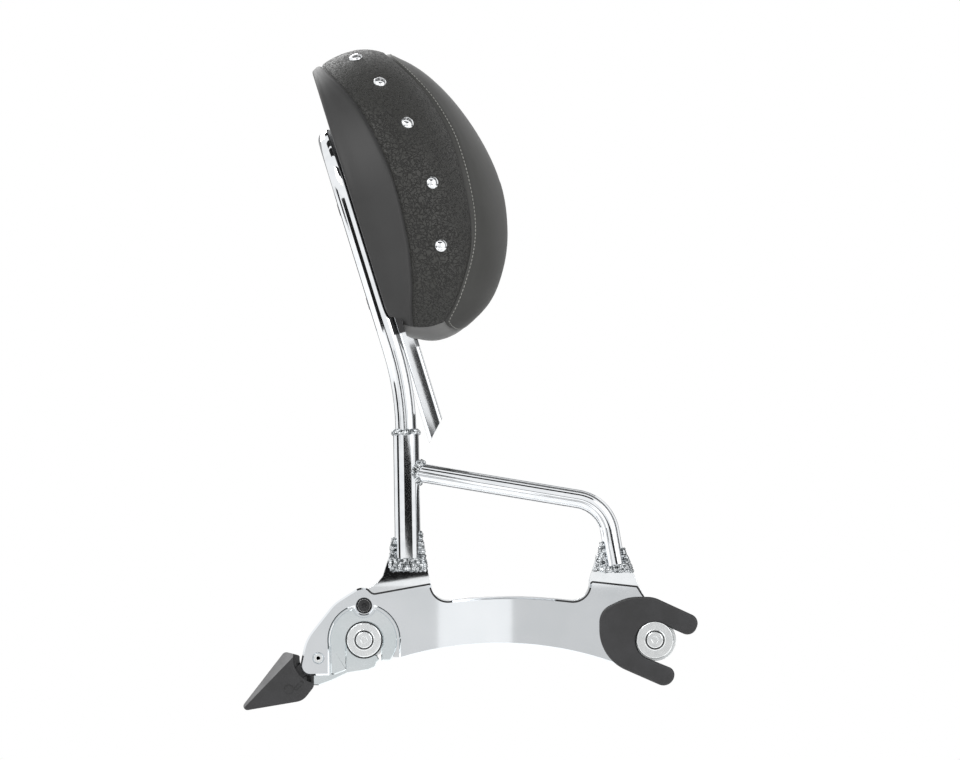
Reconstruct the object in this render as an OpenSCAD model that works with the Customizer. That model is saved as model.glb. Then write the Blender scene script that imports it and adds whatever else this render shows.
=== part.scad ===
// Detachable motorbike sissy bar with studded backrest pad and quick-release side plates.
// Millimetres. +X forward, +Y to the bike's left, +Z up.
// Origin: on the centre plane, on the axis of the two rear docking rollers.

/* [Docking] */
// Distance between the rear and the front docking axis
dock_pitch = 291; // [275:1:310]
// Distance between the outer faces of the two fender struts
strut_gap = 216; // [200:1:240]
// Radius of the rear docking roller
rear_roller_r = 17; // [15.5:0.25:17.5]
// Radius of the front docking roller
front_roller_r = 17; // [16:0.2:17]
// Thickness of the roller's inner flange
flange_t = 3.6; // [3:0.2:5]
// Radius of the roller's inner flange
flange_r = 21; // [19:0.5:23]
// Radius of the docking bolt's free end, which goes into the strut
bolt_r = 4; // [3:0.5:5]
// Radius of the docking bolt's shoulder, inside the roller
shoulder_r = 5.5; // [5.5:0.25:6.5]
// Length of bolt that stands out towards the strut
bolt_reach = 22; // [12:1:30]
// Radius of the docking bolt's head
bolt_head_r = 8.2; // [6.5:0.1:9]
// Height of the docking bolt's head
bolt_head_h = 5; // [4:0.5:7]
// Radius of the rear docking washer
rear_washer_r = 17.2; // [14:0.2:17.4]
// Radius of the front docking washer
front_washer_r = 18.5; // [15:0.5:19]
// Thickness of a docking washer
washer_t = 2.5; // [2:0.25:4]

/* [Side plates] */
// Thickness of the inner, structural plate
inner_t = 6; // [5:0.5:8]
// Thickness of the outer, polished plate
outer_t = 6; // [4:0.5:8]
// How far the inner plate shows past the outer one along the top
edge_reveal = 1.2; // [0.5:0.1:2]
// Height of the plate's waist above the docking axes
waist_z = 37; // [33:0.5:40]
// Radius of the two fillets between the waist and the tabs
waist_fillet_r = 17; // [12:0.5:17]
// Radius of the pin in the lobe above the hook
pin_r = 6.2; // [4:0.2:7]
// Height of the pin above the rear docking axis
pin_z = 34.4; // [34:0.2:36]
// Radius of the lobe round the pin
lobe_r = 10.7; // [9:0.1:11]
// Radius of the window round the hook
window_r = 34.8; // [34.4:0.2:36]

/* [Latch] */
// Outer radius of the C-shaped hook
hook_r = 33.6; // [32:0.2:33.8]
// Inner radius of the C-shaped hook
hook_bore_r = 18.4; // [18:0.2:19.5]
// Thickness of the hook
hook_t = 5; // [4:0.5:6]
// Pivot of the latch arm, distance behind the rear docking axis
pivot_x = 45.7; // [45:0.2:47]
// Pivot of the latch arm, distance below the rear docking axis
pivot_z = 18.2; // [17:0.2:19]
// Radius of the shoulder that the latch arm turns on
pivot_r = 4; // [3:0.25:4.5]
// Radius of the arm's boss round the pivot
pivot_boss_r = 12; // [9:0.5:12.5]
// Thickness of the latch arm
arm_t = 5.6; // [4:0.2:5.8]
// Thickness of the lever's grip
lever_t = 17; // [12:0.5:20]
// Width of the arm's tail inside the lever
tail_w = 13; // [8:0.5:15]

/* [Fork] */
// Thickness of the fork
fork_t = 10; // [7:0.5:14]
// Angle of the fork's mouth below the horizontal
mouth_drop = 22; // [18:0.5:26]
// Half width of the fork's mouth
mouth_half = 18.4; // [18.2:0.1:19.5]

/* [Tubes] */
// Diameter of the hoop's tube
hoop_d = 21; // [18:0.5:22]
// Diameter of the stanchion's tube
stanchion_d = 25.6; // [25:0.2:28]
// Diameter of the brace's tube
brace_d = 19; // [16:0.5:20]
// Wall of the tubes
tube_wall = 2; // [1.2:0.1:2.6]
// Diameter of the cross tubes
cross_d = 16; // [12:0.5:18]
// Backward lean of the stanchions
post_lean = 0.9; // [0:0.1:3]
// Backward lean of the hoop above its lower bends
hoop_lean = 17.2; // [14:0.1:20]
// Radius of the hoop's lower bends
hoop_bend_r = 290; // [200:5:320]
// Radius of the hoop's top corners
hoop_corner_r = 60; // [40:1:90]
// Height of the hoop's lower bend above the docking axes
hoop_bend_z = 251.4; // [245:0.5:265]
// Length of the leaning uprights, from the lower bend to the top run's centre
hoop_rise = 260; // [245:1:290]
// Height of the stanchion's top above the docking axes
stanchion_top = 208; // [195:1:210]
// Distance of the stanchion's foot ahead of the rear docking axis
stanchion_x = 44.1; // [40:0.5:48]
// Height at which the brace meets the stanchion's centre
brace_z = 169.5; // [155:0.5:185]
// Slope of the brace's long run
brace_slope = 9.4; // [6:0.2:13]
// Radius of the brace's bend
brace_bend_r = 38.5; // [30:0.5:50]
// Lean of the brace's foot from the vertical
brace_foot_lean = 10; // [4:0.5:14]

/* [Pad] */
// Width of the pad
pad_w = 280; // [270:1:310]
// Height of the pad
pad_h = 304; // [290:1:330]
// Depth of the pad, from the back edge to the crown
pad_depth = 148; // [130:1:170]
// Height of the pad's lowest edge along the bar, above the lower bend
pad_low = 37; // [30:1:50]
// Gap between the hoop's front and the base board
board_gap = 0.5; // [0.3:0.1:3]
// Thickness of the base board
board_t = 6; // [4:0.5:9]
// Thickness of the padding beside the base board
skirt_t = 12; // [8:0.5:12.5]
// Radius of a stud's dome
stud_r = 7; // [5:0.5:9]
// Height of a stud's dome
stud_h = 4.5; // [3:0.5:6]
// How deep a stud's seat lies in the padding
stud_sink = 1.5; // [1:0.25:2.5]

/* [Rail] */
// Width of the pad rail across the bike
rail_w = 16; // [12:1:24]
// Depth of the pad rail, front to back
rail_depth = 19.5; // [15:0.5:21]
// How far the rail reaches below the hoop's lower bend, at its back edge
rail_low = 59; // [45:1:75]
// Height of the rail's upper end above the lower bend
rail_top = 215; // [208:1:225]

/* [Hidden] */

// Facets of a full circle, for tubes and pins
tube_fn = 48;
// Sides of a bent tube, and the turn between two of its rings
tube_sides = 28;
bend_step = 7.5;
// Gap that lets a fixed piece slip into its seat
slip = 0.1;
// Radial play of the latch arm on its pivot
pivot_play = 0.05;
// Gap beside a piece that turns
side_play = 0.2;
// Gap between a washer and the face beside it, and how far its hub stands out
washer_gap = 0.3;
washer_hub = 1.5;
// How far a straight edge lies inside the round that it joins
join = 0.3;
// How far a cut runs past the face that it opens
past = 1;
// Facets of a large round in a plate
plate_fn = 90;
// How far a straight tube runs into a bend, and how much rounder the bend is there
lap = 0.8;
lap_step = 0.03;

// Layers of a side, as distances from the centre plane
strut_y = strut_gap / 2;
inner_y = strut_y + flange_t + 0.4;
outer_y = inner_y + inner_t;
fork_y = outer_y + outer_t;
tube_y = inner_y + inner_t / 2;

// Unit vector along v
function unit(v) = v / norm(v);

// Point of the arc round a centre
function on_circle(c, r, a) = c + r * [cos(a), sin(a)];

// Points that round one corner of a closed outline; a corner is [x, y, radius]
function round_corner(c, i) =
    let (n = len(c))
    let (p = [c[i][0], c[i][1]], r = c[i][2])
    let (before = c[(i + n - 1) % n], after = c[(i + 1) % n])
    let (u = unit([before[0], before[1]] - p), v = unit([after[0], after[1]] - p))
    let (half = acos(u * v) / 2)
    let (centre = p + unit(u + v) * r / sin(half))
    let (from = p + u * r / tan(half) - centre, to = p + v * r / tan(half) - centre)
    let (start = atan2(from[1], from[0]), turn = (atan2(to[1], to[0]) - start + 540) % 360 - 180)
    let (steps = max(4, ceil(abs(turn) * sqrt(r) / 30)))
    [for (k = [0:steps]) on_circle(centre, r, start + turn * k / steps)];

// Closed outline with rounded corners
function outline(c) = [for (i = [0:len(c) - 1]) each c[i][2] > 0 ? round_corner(c, i) : [[c[i][0], c[i][1]]]];

// Plate in the XZ plane, from distance y outwards
module slab(y, t) {
    translate([0, y + t, 0])
        rotate([90, 0, 0])
            linear_extrude(t)
                children();
}

// Turned piece with its axis along Y, starting at [x, y, z] and running outwards
module turned(x, y, z) {
    translate([x, y, z])
        rotate([-90, 0, 0])
            children();
}

// Mirror image on the bike's right side
module right_side() {
    mirror([0, 1, 0])
        children();
}

// The same for a piece that is symmetric about the layer of the tubes
module other_side() {
    translate([0, -2 * tube_y, 0])
        children();
}

// Straight rod between two points
module rod(a, b, r) {
    d = b - a;
    translate(a)
        rotate([0, acos(d[2] / norm(d)), atan2(d[1], d[0])])
            cylinder(h = norm(d), r = r, $fn = tube_fn);
}

// Length of straight that a bend takes away on each side of its corner
function tangent(p, radii, i) = radii[i - 1] * tan(acos(unit(p[i] - p[i - 1]) * unit(p[i + 1] - p[i])) / 2);

// Stations [point, direction] round the bend at corner i of a path
function bend_stations(p, radii, i) =
    let (u = unit(p[i] - p[i - 1]), v = unit(p[i + 1] - p[i]))
    let (turn = acos(u * v), across = unit(v - u * (u * v)))
    let (start = p[i] - u * tangent(p, radii, i), steps = ceil(turn / bend_step))
    [for (k = [0:steps])
        let (a = turn * k / steps)
        [start + radii[i - 1] * (u * sin(a) + across * (1 - cos(a))), u * cos(a) + across * sin(a)]];

// Ring of points round a station; f fixes where the first point lies
function ring(station, f, r) =
    let (d = station[1], a = unit(f - d * (f * d)), b = cross(d, a))
    [for (k = [0:tube_sides - 1]) station[0] + r * (a * cos(360 * k / tube_sides) + b * sin(360 * k / tube_sides))];

// Bar along a path of corners, bent at each inner corner to its own radius, ends grown by extra
module bent_bar(p, radii, r, f, extra = 0) {
    last = len(p) - 1;
    u = unit(p[1] - p[0]);
    v = unit(p[last] - p[last - 1]);
    stations = concat(
        [[p[0] - u * extra, u]],
        [for (i = [1:last - 1]) each bend_stations(p, radii, i)],
        [[p[last] + v * extra, v]]
    );
    n = len(stations);
    polyhedron(
        points = [for (s = stations) each ring(s, f, r)],
        faces = concat(
            [[for (k = [0:tube_sides - 1]) k]],
            [for (i = [0:n - 2]) for (k = [0:tube_sides - 1])
                let (next = (k + 1) % tube_sides, low = i * tube_sides, high = low + tube_sides)
                [low + k, high + k, high + next, low + next]],
            [[for (k = [0:tube_sides - 1]) n * tube_sides - 1 - k]]
        )
    );
}

// Ring of weld round a tube whose axis runs along Z
module weld_ring(tube_r, bead_r) {
    rotate_extrude($fn = tube_fn)
        translate([tube_r, 0])
            circle(bead_r, $fn = 24);
}

// Lower frame: the stanchion's own axes, origin at its foot
foot_z = 71;
function post_x(z) = stanchion_x - (z - foot_z) * tan(post_lean);
post_up = [-sin(post_lean), 0, cos(post_lean)];

// Bar frame: origin at the hoop's lower bend, local Z up along the leaning bar, local X forward
bend_x = post_x(hoop_bend_z);
bar_up = [-sin(hoop_lean), 0, cos(hoop_lean)];
bar_front = [cos(hoop_lean), 0, sin(hoop_lean)];

module bar_frame() {
    translate([bend_x, 0, hoop_bend_z])
        rotate([0, -hoop_lean, 0])
            children();
}

// Hoop
hoop_r = hoop_d / 2;
hoop_end_z = 120;
function hoop_foot(side) = [post_x(hoop_end_z), side * tube_y, hoop_end_z];
function hoop_knee(side) = [bend_x, side * tube_y, hoop_bend_z];
function hoop_corner(side) = hoop_knee(side) + bar_up * hoop_rise;
hoop_path = [hoop_foot(-1), hoop_knee(-1), hoop_corner(-1), hoop_corner(1), hoop_knee(1), hoop_foot(1)];
hoop_radii = [hoop_bend_r, hoop_corner_r, hoop_corner_r, hoop_bend_r];

module hoop() {
    color("silver")
        difference() {
            bent_bar(hoop_path, hoop_radii, hoop_r, bar_front);
            bent_bar(hoop_path, hoop_radii, hoop_r - tube_wall, bar_front, 1);
        }
}

// Stanchion
stanchion_r = stanchion_d / 2;
tongue_top = 110;
bead_r = 2.4;

module stanchion() {
    top = (stanchion_top - foot_z) / cos(post_lean);
    color("silver")
        difference() {
            translate([post_x(foot_z), tube_y, foot_z])
                rotate([0, -post_lean, 0])
                    difference() {
                        union() {
                            cylinder(h = top, r = stanchion_r, $fn = tube_fn);
                            translate([0, 0, top])
                                weld_ring(stanchion_r - bead_r, bead_r);
                            translate([0, 0, bead_r])
                                weld_ring(stanchion_r, bead_r);
                        }
                        translate([0, 0, 5])
                            cylinder(h = top + bead_r, r = hoop_r + slip, $fn = tube_fn);
                    }
            slab(inner_y - slip, inner_t + 2 * slip)
                translate([0, foot_z - 10])
                    square([2 * stanchion_x, tongue_top + slip - foot_z + 10]);
        }
}

// Brace
brace_r = brace_d / 2;
brace_foot_x = dock_pitch - 38.5;
brace_start = [post_x(brace_z), tube_y, brace_z];
brace_run = [cos(brace_slope), 0, -sin(brace_slope)];
brace_foot = [brace_foot_x, tube_y, foot_z];
brace_drop = [sin(brace_foot_lean), 0, -cos(brace_foot_lean)];
// Where the long run's line meets the foot's line
brace_reach = ((brace_foot[0] - brace_start[0]) * cos(brace_foot_lean) + (brace_foot[2] - brace_start[2])
    * sin(brace_foot_lean)) / cos(brace_slope + brace_foot_lean);
brace_corner = brace_start + brace_run * brace_reach;

// Rod along the brace: long run, bend and foot, grown by back at its start and by down at its foot
module brace_line(r, back, down) {
    turn = 90 - brace_slope - brace_foot_lean;
    leg = brace_bend_r * tan(turn / 2);
    top = brace_corner - brace_run * leg;
    low = brace_corner + brace_drop * leg;
    rod(brace_start - brace_run * back, top + brace_run * lap, r);
    rod(brace_foot + brace_drop * down, low - brace_drop * lap, r);
    translate(top - brace_bend_r * [sin(brace_slope), 0, cos(brace_slope)])
        rotate([90, 0, 0])
            rotate([0, 0, brace_foot_lean])
                rotate_extrude(angle = turn, $fn = 90)
                    translate([brace_bend_r, 0])
                        circle(r + lap_step, $fn = tube_fn);
}

module brace() {
    color("silver")
        difference() {
            union() {
                brace_line(brace_r, 0, 0);
                translate(brace_start + brace_run * (stanchion_r - bead_r))
                    rotate([0, 90 + brace_slope, 0])
                        cylinder(h = 3 * bead_r, r1 = brace_r + bead_r, r2 = brace_r + 0.4, $fn = tube_fn);
                translate(brace_foot)
                    rotate([0, -brace_foot_lean, 0])
                        cylinder(h = 2 * bead_r, r1 = brace_r + bead_r, r2 = brace_r + 0.4, $fn = tube_fn);
            }
            brace_line(brace_r - tube_wall, past, 5 * past);
            translate([post_x(foot_z), tube_y, foot_z])
                rotate([0, -post_lean, 0])
                    cylinder(h = stanchion_top, r = stanchion_r + 0.05, $fn = tube_fn);
            slab(inner_y - slip, inner_t + 2 * slip)
                translate([brace_foot_x - 30, foot_z - 10])
                    square([60, tongue_top - 10 + slip - foot_z + 10]);
        }
}

// Heel of the side plate, and how far the lever's outer half stays from its pivot to swing past the plate
plate_heel = [-66, -36];
swing_r = norm(plate_heel + [pivot_x, pivot_z]) - 1.6;

// Outline of the two plates between the docks; grow is how far the top edge stands out
waist_mid = dock_pitch / 2;
tab_z = 57;
waist_fillet = min(waist_fillet_r, tab_z - waist_z - 3);
function waist(grow) = [
    [68.2 + grow, waist_z + grow, waist_fillet],
    [waist_mid, waist_z + 9 + grow, 500],
    [dock_pitch - 66.3 - grow, waist_z + grow, waist_fillet]
];
function belly(rise) = [
    [dock_pitch - 14, 26, 4],
    [dock_pitch - 14, -24 + rise, 4],
    [dock_pitch - 24, -29 + rise, 3],
    [dock_pitch - 38.5, -24.7 + rise, 0],
    [waist_mid - 2, 12.5 + rise, 345]
];

module front_dock_gap() {
    translate([dock_pitch, 0])
        circle(front_roller_r + 5, $fn = 60);
}

module side_plate() {
    corners = concat(
        [[plate_heel[0], plate_heel[1], 10], [-58.5, 0.5, 45], [-30, 36.8, 40], [-5, 52.6, 13], [3.5, 51.8, 4], [9, 46.6, 5]],
        [[66.7, tab_z, 1.5]],
        waist(0),
        [[dock_pitch - 64.8, 59.3, 3], [dock_pitch - 17.5, 54.2, 2], [dock_pitch - 9, 41, 2]],
        belly(0),
        [[window_r + 0.3, -19.3, 1], [-20, -35, 0]]
    );
    color("gainsboro")
        difference() {
            union() {
                difference() {
                    slab(outer_y, outer_t)
                        polygon(outline(corners));
                    slab(outer_y - past, outer_t + 2 * past)
                        circle(window_r, $fn = plate_fn);
                    slab(outer_y - past, outer_t + 2 * past)
                        translate([join - window_r, -60])
                            square([2 * window_r, 60]);
                }
                turned(0, outer_y, pin_z)
                    cylinder(h = outer_t, r = lobe_r, $fn = tube_fn);
            }
            slab(outer_y - past, outer_t + 2 * past)
                front_dock_gap();
            turned(0, outer_y - past, pin_z)
                cylinder(h = outer_t + 2 * past, r = pin_r + slip, $fn = tube_fn);
            turned(-pivot_x, outer_y - past, -pivot_z)
                cylinder(h = outer_t + 2 * past, r = pivot_r + slip, $fn = tube_fn);
            plate_screw_holes();
        }
}

module inner_plate() {
    corners = concat(
        [[-31, 0.5, 3], [-29, 30, 8], [-8, 47, 10], [4.7, 51.5, 0], [13.9, 58.1, 6], [18.6, 64, 4], [21, 72, 1]],
        [[30.2, 100, 1], [56.3, tongue_top, 1], [63.2, 74.8, 1], [66.7, tab_z, 1]],
        waist(edge_reveal),
        [[dock_pitch - 66, 60.5, 2], [dock_pitch - 62.5, 72, 1], [dock_pitch - 53.7, 99, 1]],
        [[dock_pitch - 33.5, tongue_top - 16, 1], [dock_pitch - 21, 66, 2], [dock_pitch - 16.5, 55.5, 2]],
        [[dock_pitch - 9.5, 41, 2]],
        belly(1),
        [[window_r + 1, -17.5, 1], [rear_roller_r + 3, -17.5, 1], [rear_roller_r + 3, 0.5, 0]]
    );
    color("silver")
        difference() {
            slab(inner_y, inner_t)
                difference() {
                    polygon(outline(corners));
                    circle(hook_bore_r, $fn = 90);
                    front_dock_gap();
                }
            turned(0, inner_y - past, pin_z)
                cylinder(h = inner_t + 2 * past, r = pin_r + slip, $fn = tube_fn);
            plate_screw_holes();
        }
}

// Screws from the inboard side: [x, z, depth of thread's seat beyond the inner plate]
screw_r = 3;
screw_seats = [
    [-24, 11.5, hook_t - 1],
    [25, 9, hook_t - 1],
    [82, 12, outer_t - 1],
    [waist_mid + 30, 18, outer_t - 1],
    [dock_pitch - 38, 18, outer_t + fork_t - 2],
    [dock_pitch - 31, -14, outer_t + fork_t - 2]
];

module plate_screw_holes() {
    for (s = screw_seats)
        turned(s[0], inner_y - past, s[1])
            cylinder(h = inner_t + s[2] + past + 0.3, r = screw_r + slip, $fn = 24);
}

module plate_screws() {
    color("dimgray")
        for (s = screw_seats)
            turned(s[0], inner_y - 2.8, s[1])
                difference() {
                    union() {
                        cylinder(h = 2.8, r = 2 * screw_r - 0.5, $fn = 24);
                        cylinder(h = 2.8 + inner_t + s[2], r = screw_r, $fn = 24);
                    }
                    translate([0, 0, -1])
                        cylinder(h = 2.8, r = 2, $fn = 6);
                }
}

// Fork: corners about the front docking axis; the mouth lies as far off the axis as the roller allows
mouth_shift = min(1.2, mouth_half - front_roller_r - slip);

module fork() {
    body = [
        [39.8, 2.3, 9], [47.6, 21.6, 9], [-8, 46, 30], [-52, 32.5, 22],
        [-56.5, 6, 20], [-40, -27, 18], [15.6, -49.5, 9.5], [23.2, -30.7, 9.5], [0, 0, 0]
    ];
    color("dimgray")
        difference() {
            slab(fork_y, fork_t)
                translate([dock_pitch, 0])
                    difference() {
                        polygon(outline(body));
                        rotate(-mouth_drop)
                            translate([0, -mouth_shift]) {
                                circle(mouth_half, $fn = 90);
                                translate([0, -mouth_half])
                                    square([80, 2 * mouth_half]);
                            }
                    }
            plate_screw_holes();
        }
}

// Hook: sits in the window, its bore a little larger than the roller
module latch_hook() {
    leg_w = hook_r - hook_bore_r;
    leg = [[join - hook_r, 0, 0], [-hook_r + leg_w, 0, 0], [-hook_r + leg_w + 1.8, -29.6, 3],
        [-hook_r + 5, -34.2, 3], [-hook_r + 0.8, -34.2, 2]];
    color("lightgray")
        difference() {
            translate([-0.5, 0, -0.3])
                difference() {
                    union() {
                        difference() {
                            slab(outer_y, hook_t)
                                circle(hook_r, $fn = plate_fn);
                            slab(outer_y - past, hook_t + 2 * past)
                                translate([-50, -70.3])
                                    square([100, 50]);
                        }
                        slab(outer_y, hook_t)
                            polygon(outline(leg));
                    }
                    slab(outer_y - past, hook_t + 2 * past)
                        translate([1.1, 0])
                            circle(hook_bore_r, $fn = plate_fn);
                    slab(outer_y - past, hook_t + 2 * past)
                        translate([1.1 + join - hook_bore_r, -30])
                            square([2 * hook_bore_r - 2, 30]);
                    slab(outer_y - past, hook_t + 2 * past)
                        translate([0.5, pin_z + 0.3])
                            circle(lobe_r + 0.9, $fn = 60);
                }
            plate_screw_holes();
        }
}

module hook_pin() {
    color("black")
        turned(0, inner_y, pin_z)
            difference() {
                cylinder(h = inner_t + outer_t + 0.6, r = pin_r, $fn = tube_fn);
                translate([0, 0, inner_t + outer_t - 1.6])
                    cylinder(h = 4, r = 2.6, $fn = 6);
            }
}

// Latch arm: boss on the pivot, finger under the roller, tail inside the lever
arm_y = inner_y + (inner_t - arm_t) / 2;
tail_angle = 217;
tail_len = 52;

module tail_2d(play) {
    translate([-pivot_x, -pivot_z])
        rotate(tail_angle)
            translate([0, -tail_w / 2 - play])
                square([tail_len + play, tail_w + 2 * play]);
}

module latch_arm() {
    finger = [
        [-pivot_x, pivot_boss_r - pivot_z - join, 0], [-16, -6.2, 0], [-13, -12.5, 0], [12.8, -15.2, 0],
        [15.4, -19.8, 1], [12.6, -22.2, 1], [11, -26.9, 2], [3.9, -29.8, 4], [-16.7, -33, 8],
        [-32.7, -40.6, 14], [-45.5, -45.2, 3], [-52.4, -45.2, 3], [-56.5, -22, 0]
    ];
    color("lightgray")
        difference() {
            union() {
                slab(arm_y, arm_t)
                    polygon(outline(finger));
                turned(-pivot_x, arm_y, -pivot_z)
                    cylinder(h = arm_t, r = pivot_boss_r, $fn = 60);
                slab(arm_y, arm_t)
                    tail_2d(0);
            }
            slab(arm_y - past, arm_t + 2 * past)
                circle(rear_roller_r + 0.6, $fn = plate_fn);
            turned(-pivot_x, arm_y - past, -pivot_z)
                cylinder(h = arm_t + 2 * past, r = pivot_r + pivot_play, $fn = tube_fn);
        }
}

module lever() {
    grip = [
        [-79.5, -11.5, 5], [-126, -71.8, 4], [-61, -60.8, 16], [-50.2, -47, 6], [-50, -36.5, 3],
        [-61.5, -32.6, 6], [-64, -15.5, 4]
    ];
    boss_room = 6.6;
    color("dimgray")
        difference() {
            slab(outer_y - lever_t / 2, lever_t)
                difference() {
                    polygon(outline(grip));
                    translate([-pivot_x, -pivot_z])
                        circle(pivot_boss_r + boss_room, $fn = 60);
                }
            turned(-pivot_x, outer_y - side_play, -pivot_z)
                cylinder(h = lever_t, r = swing_r, $fn = plate_fn);
            slab(arm_y - slip, arm_t + 2 * slip)
                tail_2d(slip);
            slab(arm_y - slip, arm_t + 2 * slip)
                polygon([[-57.2, -46], [-40, -46], [-40, -20], [-57.2, -20]]);
        }
}

module lever_screw() {
    length = arm_y - 2.8 - side_play;
    color("silver")
        turned(-pivot_x, length, -pivot_z)
            difference() {
                union() {
                    cylinder(h = outer_y + outer_t - length, r = pivot_r, $fn = tube_fn);
                    translate([0, 0, outer_y + outer_t - length])
                        cylinder(h = 1.2, r = pivot_r + 0.6, $fn = tube_fn);
                }
                translate([0, 0, outer_y + outer_t - length - 0.8])
                    cylinder(h = 3, r = 2.2, $fn = 6);
            }
}

module lever_nut() {
    color("silver")
        turned(-pivot_x, arm_y - 2.8 - side_play, -pivot_z)
            difference() {
                cylinder(h = 2.8, r = 8, $fn = 6);
                translate([0, 0, -1])
                    cylinder(h = 5, r = pivot_r + slip, $fn = tube_fn);
            }
}

// Docking hardware: x is the docking axis, face the outermost face that the roller passes
module roller(x, r, face) {
    color("silver")
        turned(x, strut_y, 0)
            difference() {
                union() {
                    cylinder(h = flange_t, r = flange_r, $fn = 72);
                    cylinder(h = face - strut_y, r = r, $fn = 72);
                }
                translate([0, 0, -past])
                    cylinder(h = face - strut_y + 2 * past, r = shoulder_r + slip, $fn = tube_fn);
            }
}

module docking_washer(x, r, face) {
    color("whitesmoke")
        turned(x, face, 0)
            difference() {
                union() {
                    cylinder(h = washer_t - 1, r = r, $fn = 72);
                    translate([0, 0, washer_t - 1])
                        cylinder(h = 1, r1 = r, r2 = r - 1, $fn = 72);
                    cylinder(h = washer_t + washer_hub, r = bolt_head_r + 2.1, $fn = 72);
                }
                translate([0, 0, -past])
                    cylinder(h = washer_t + washer_hub + 2 * past, r = shoulder_r + slip, $fn = tube_fn);
            }
}

module docking_bolt(x, face) {
    grip = face + washer_t + washer_hub - strut_y;
    color("silver")
        turned(x, strut_y, 0)
            difference() {
                union() {
                    translate([0, 0, -bolt_reach])
                        cylinder(h = bolt_reach + past, r = bolt_r, $fn = tube_fn);
                    cylinder(h = grip, r = shoulder_r, $fn = tube_fn);
                    translate([0, 0, grip])
                        cylinder(h = bolt_head_h - 1, r = bolt_head_r, $fn = tube_fn);
                    translate([0, 0, grip + bolt_head_h - 1])
                        cylinder(h = 1, r1 = bolt_head_r, r2 = bolt_head_r - 1, $fn = tube_fn);
                }
                translate([0, 0, grip + bolt_head_h - 3.5])
                    cylinder(h = 5, r = 3.6, $fn = 6);
            }
}

rear_face = outer_y + outer_t + washer_gap;
front_face = fork_y + fork_t + washer_gap;

// Cross tubes and pad rail
cross_r = cross_d / 2;
lower_cross_z = 92;
upper_cross_z = hoop_rise - hoop_corner_r - cross_r - 2;
rail_back = cross_r - 1;
pad_bolt_y = 60;
pad_bolt_r = 3;

module cross_tube(z) {
    color("silver")
        difference() {
            bar_frame()
                difference() {
                    translate([0, -tube_y, z])
                        rotate([-90, 0, 0])
                            difference() {
                                cylinder(h = 2 * tube_y, r = cross_r, $fn = tube_fn);
                                translate([0, 0, -1])
                                    cylinder(h = 2 * tube_y + 2, r = cross_r - tube_wall, $fn = tube_fn);
                            }
                    for (side = [-1, 1])
                        translate([-cross_r - 1, side * pad_bolt_y, z])
                            rotate([0, 90, 0])
                                cylinder(h = 2 * cross_r + 2, r = pad_bolt_r + slip, $fn = 24);
                }
            for (side = [-1, 1])
                rod(hoop_knee(side), hoop_corner(side), hoop_r + 0.05);
        }
}

module rail_2d() {
    polygon([[rail_back, rail_top], [rail_back, -rail_low], [rail_back + rail_depth, 19.5 - rail_low],
        [rail_back + rail_depth, rail_top]]);
}

module pad_rail() {
    edge = 4;
    color("silver")
        bar_frame()
            difference() {
                intersection() {
                    translate([0, rail_w / 2, 0])
                        rotate([90, 0, 0])
                            linear_extrude(rail_w)
                                rail_2d();
                    translate([0, 0, -2 * rail_low])
                        linear_extrude(rail_top + 2 * rail_low)
                            polygon(outline([[rail_back, -rail_w / 2, edge], [rail_back, rail_w / 2, edge],
                                [rail_back + rail_depth, rail_w / 2, edge],
                                [rail_back + rail_depth, -rail_w / 2, edge]]));
                }
                for (z = [lower_cross_z, upper_cross_z])
                    translate([0, -rail_w, z])
                        rotate([-90, 0, 0])
                            cylinder(h = 2 * rail_w, r = cross_r + 0.05, $fn = tube_fn);
            }
}

// Pad: how far the padding has drawn in at local depth x, from 1 at the widest to 0 at the crown
pad_back = 4.5;
pad_widest = 48.5;
pad_front = pad_back + pad_depth;
crown_z = pad_low + 0.447 * pad_h;
function draw_in(x, power) = x < pad_widest ? 1 : pow(1 - pow((x - pad_widest) / (pad_front - pad_widest), 2), power);
// How much the back edge has drawn in, from 0 at the widest to 1 at the back
function tuck(x) = x > pad_widest ? 0 : pow((pad_widest - x) / (pad_widest - pad_back), 2);
function pad_half(x) = pad_w / 2 * draw_in(x, 0.5) - 7 * tuck(x);
function pad_bottom(x) = crown_z - (crown_z - pad_low) * draw_in(x, 0.52) + 28 * tuck(x);
function pad_top(x) = crown_z + (pad_low + pad_h - crown_z) * draw_in(x, 0.66) - 9 * tuck(x);
// The pad's arched top at local depth x: radius, and height of its centre
function arch_r(x) = min(pad_half(x), (pad_top(x) - pad_bottom(x)) / 2);
function arch_z(x) = pad_top(x) - arch_r(x);

// Thin slice of the pad at local depth x
module pad_slice(x) {
    half = pad_half(x);
    low = pad_bottom(x);
    low_r = 0.45 * half;
    translate([x, 0, arch_z(x)])
        rotate([0, 90, 0])
            cylinder(h = 0.2, r = arch_r(x), $fn = 64);
    for (side = [-1, 1])
        translate([x, side * (half - low_r), low + low_r])
            rotate([0, 90, 0])
                cylinder(h = 0.2, r = low_r, $fn = 32);
}

// Half width of the recess in the padding's back: the board's, or the hoop's if that is wider
hoop_room = 2.5;
recess_half = max(pad_w / 2 - skirt_t, tube_y + hoop_r + hoop_room);

// Base board
board_back = hoop_r + board_gap;
board_front = board_back + board_t;
board_low = pad_bottom(board_front) + 3;

// Plate across the bar frame with the pad's front outline
module board_solid(x, t, half, low, high) {
    top_r = half;
    translate([x, 0, 0]) {
        translate([0, 0, high - top_r])
            rotate([0, 90, 0])
                cylinder(h = t, r = top_r, $fn = 120);
        translate([0, -half, low])
            cube([t, 2 * half, high - top_r - low]);
    }
}

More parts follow.
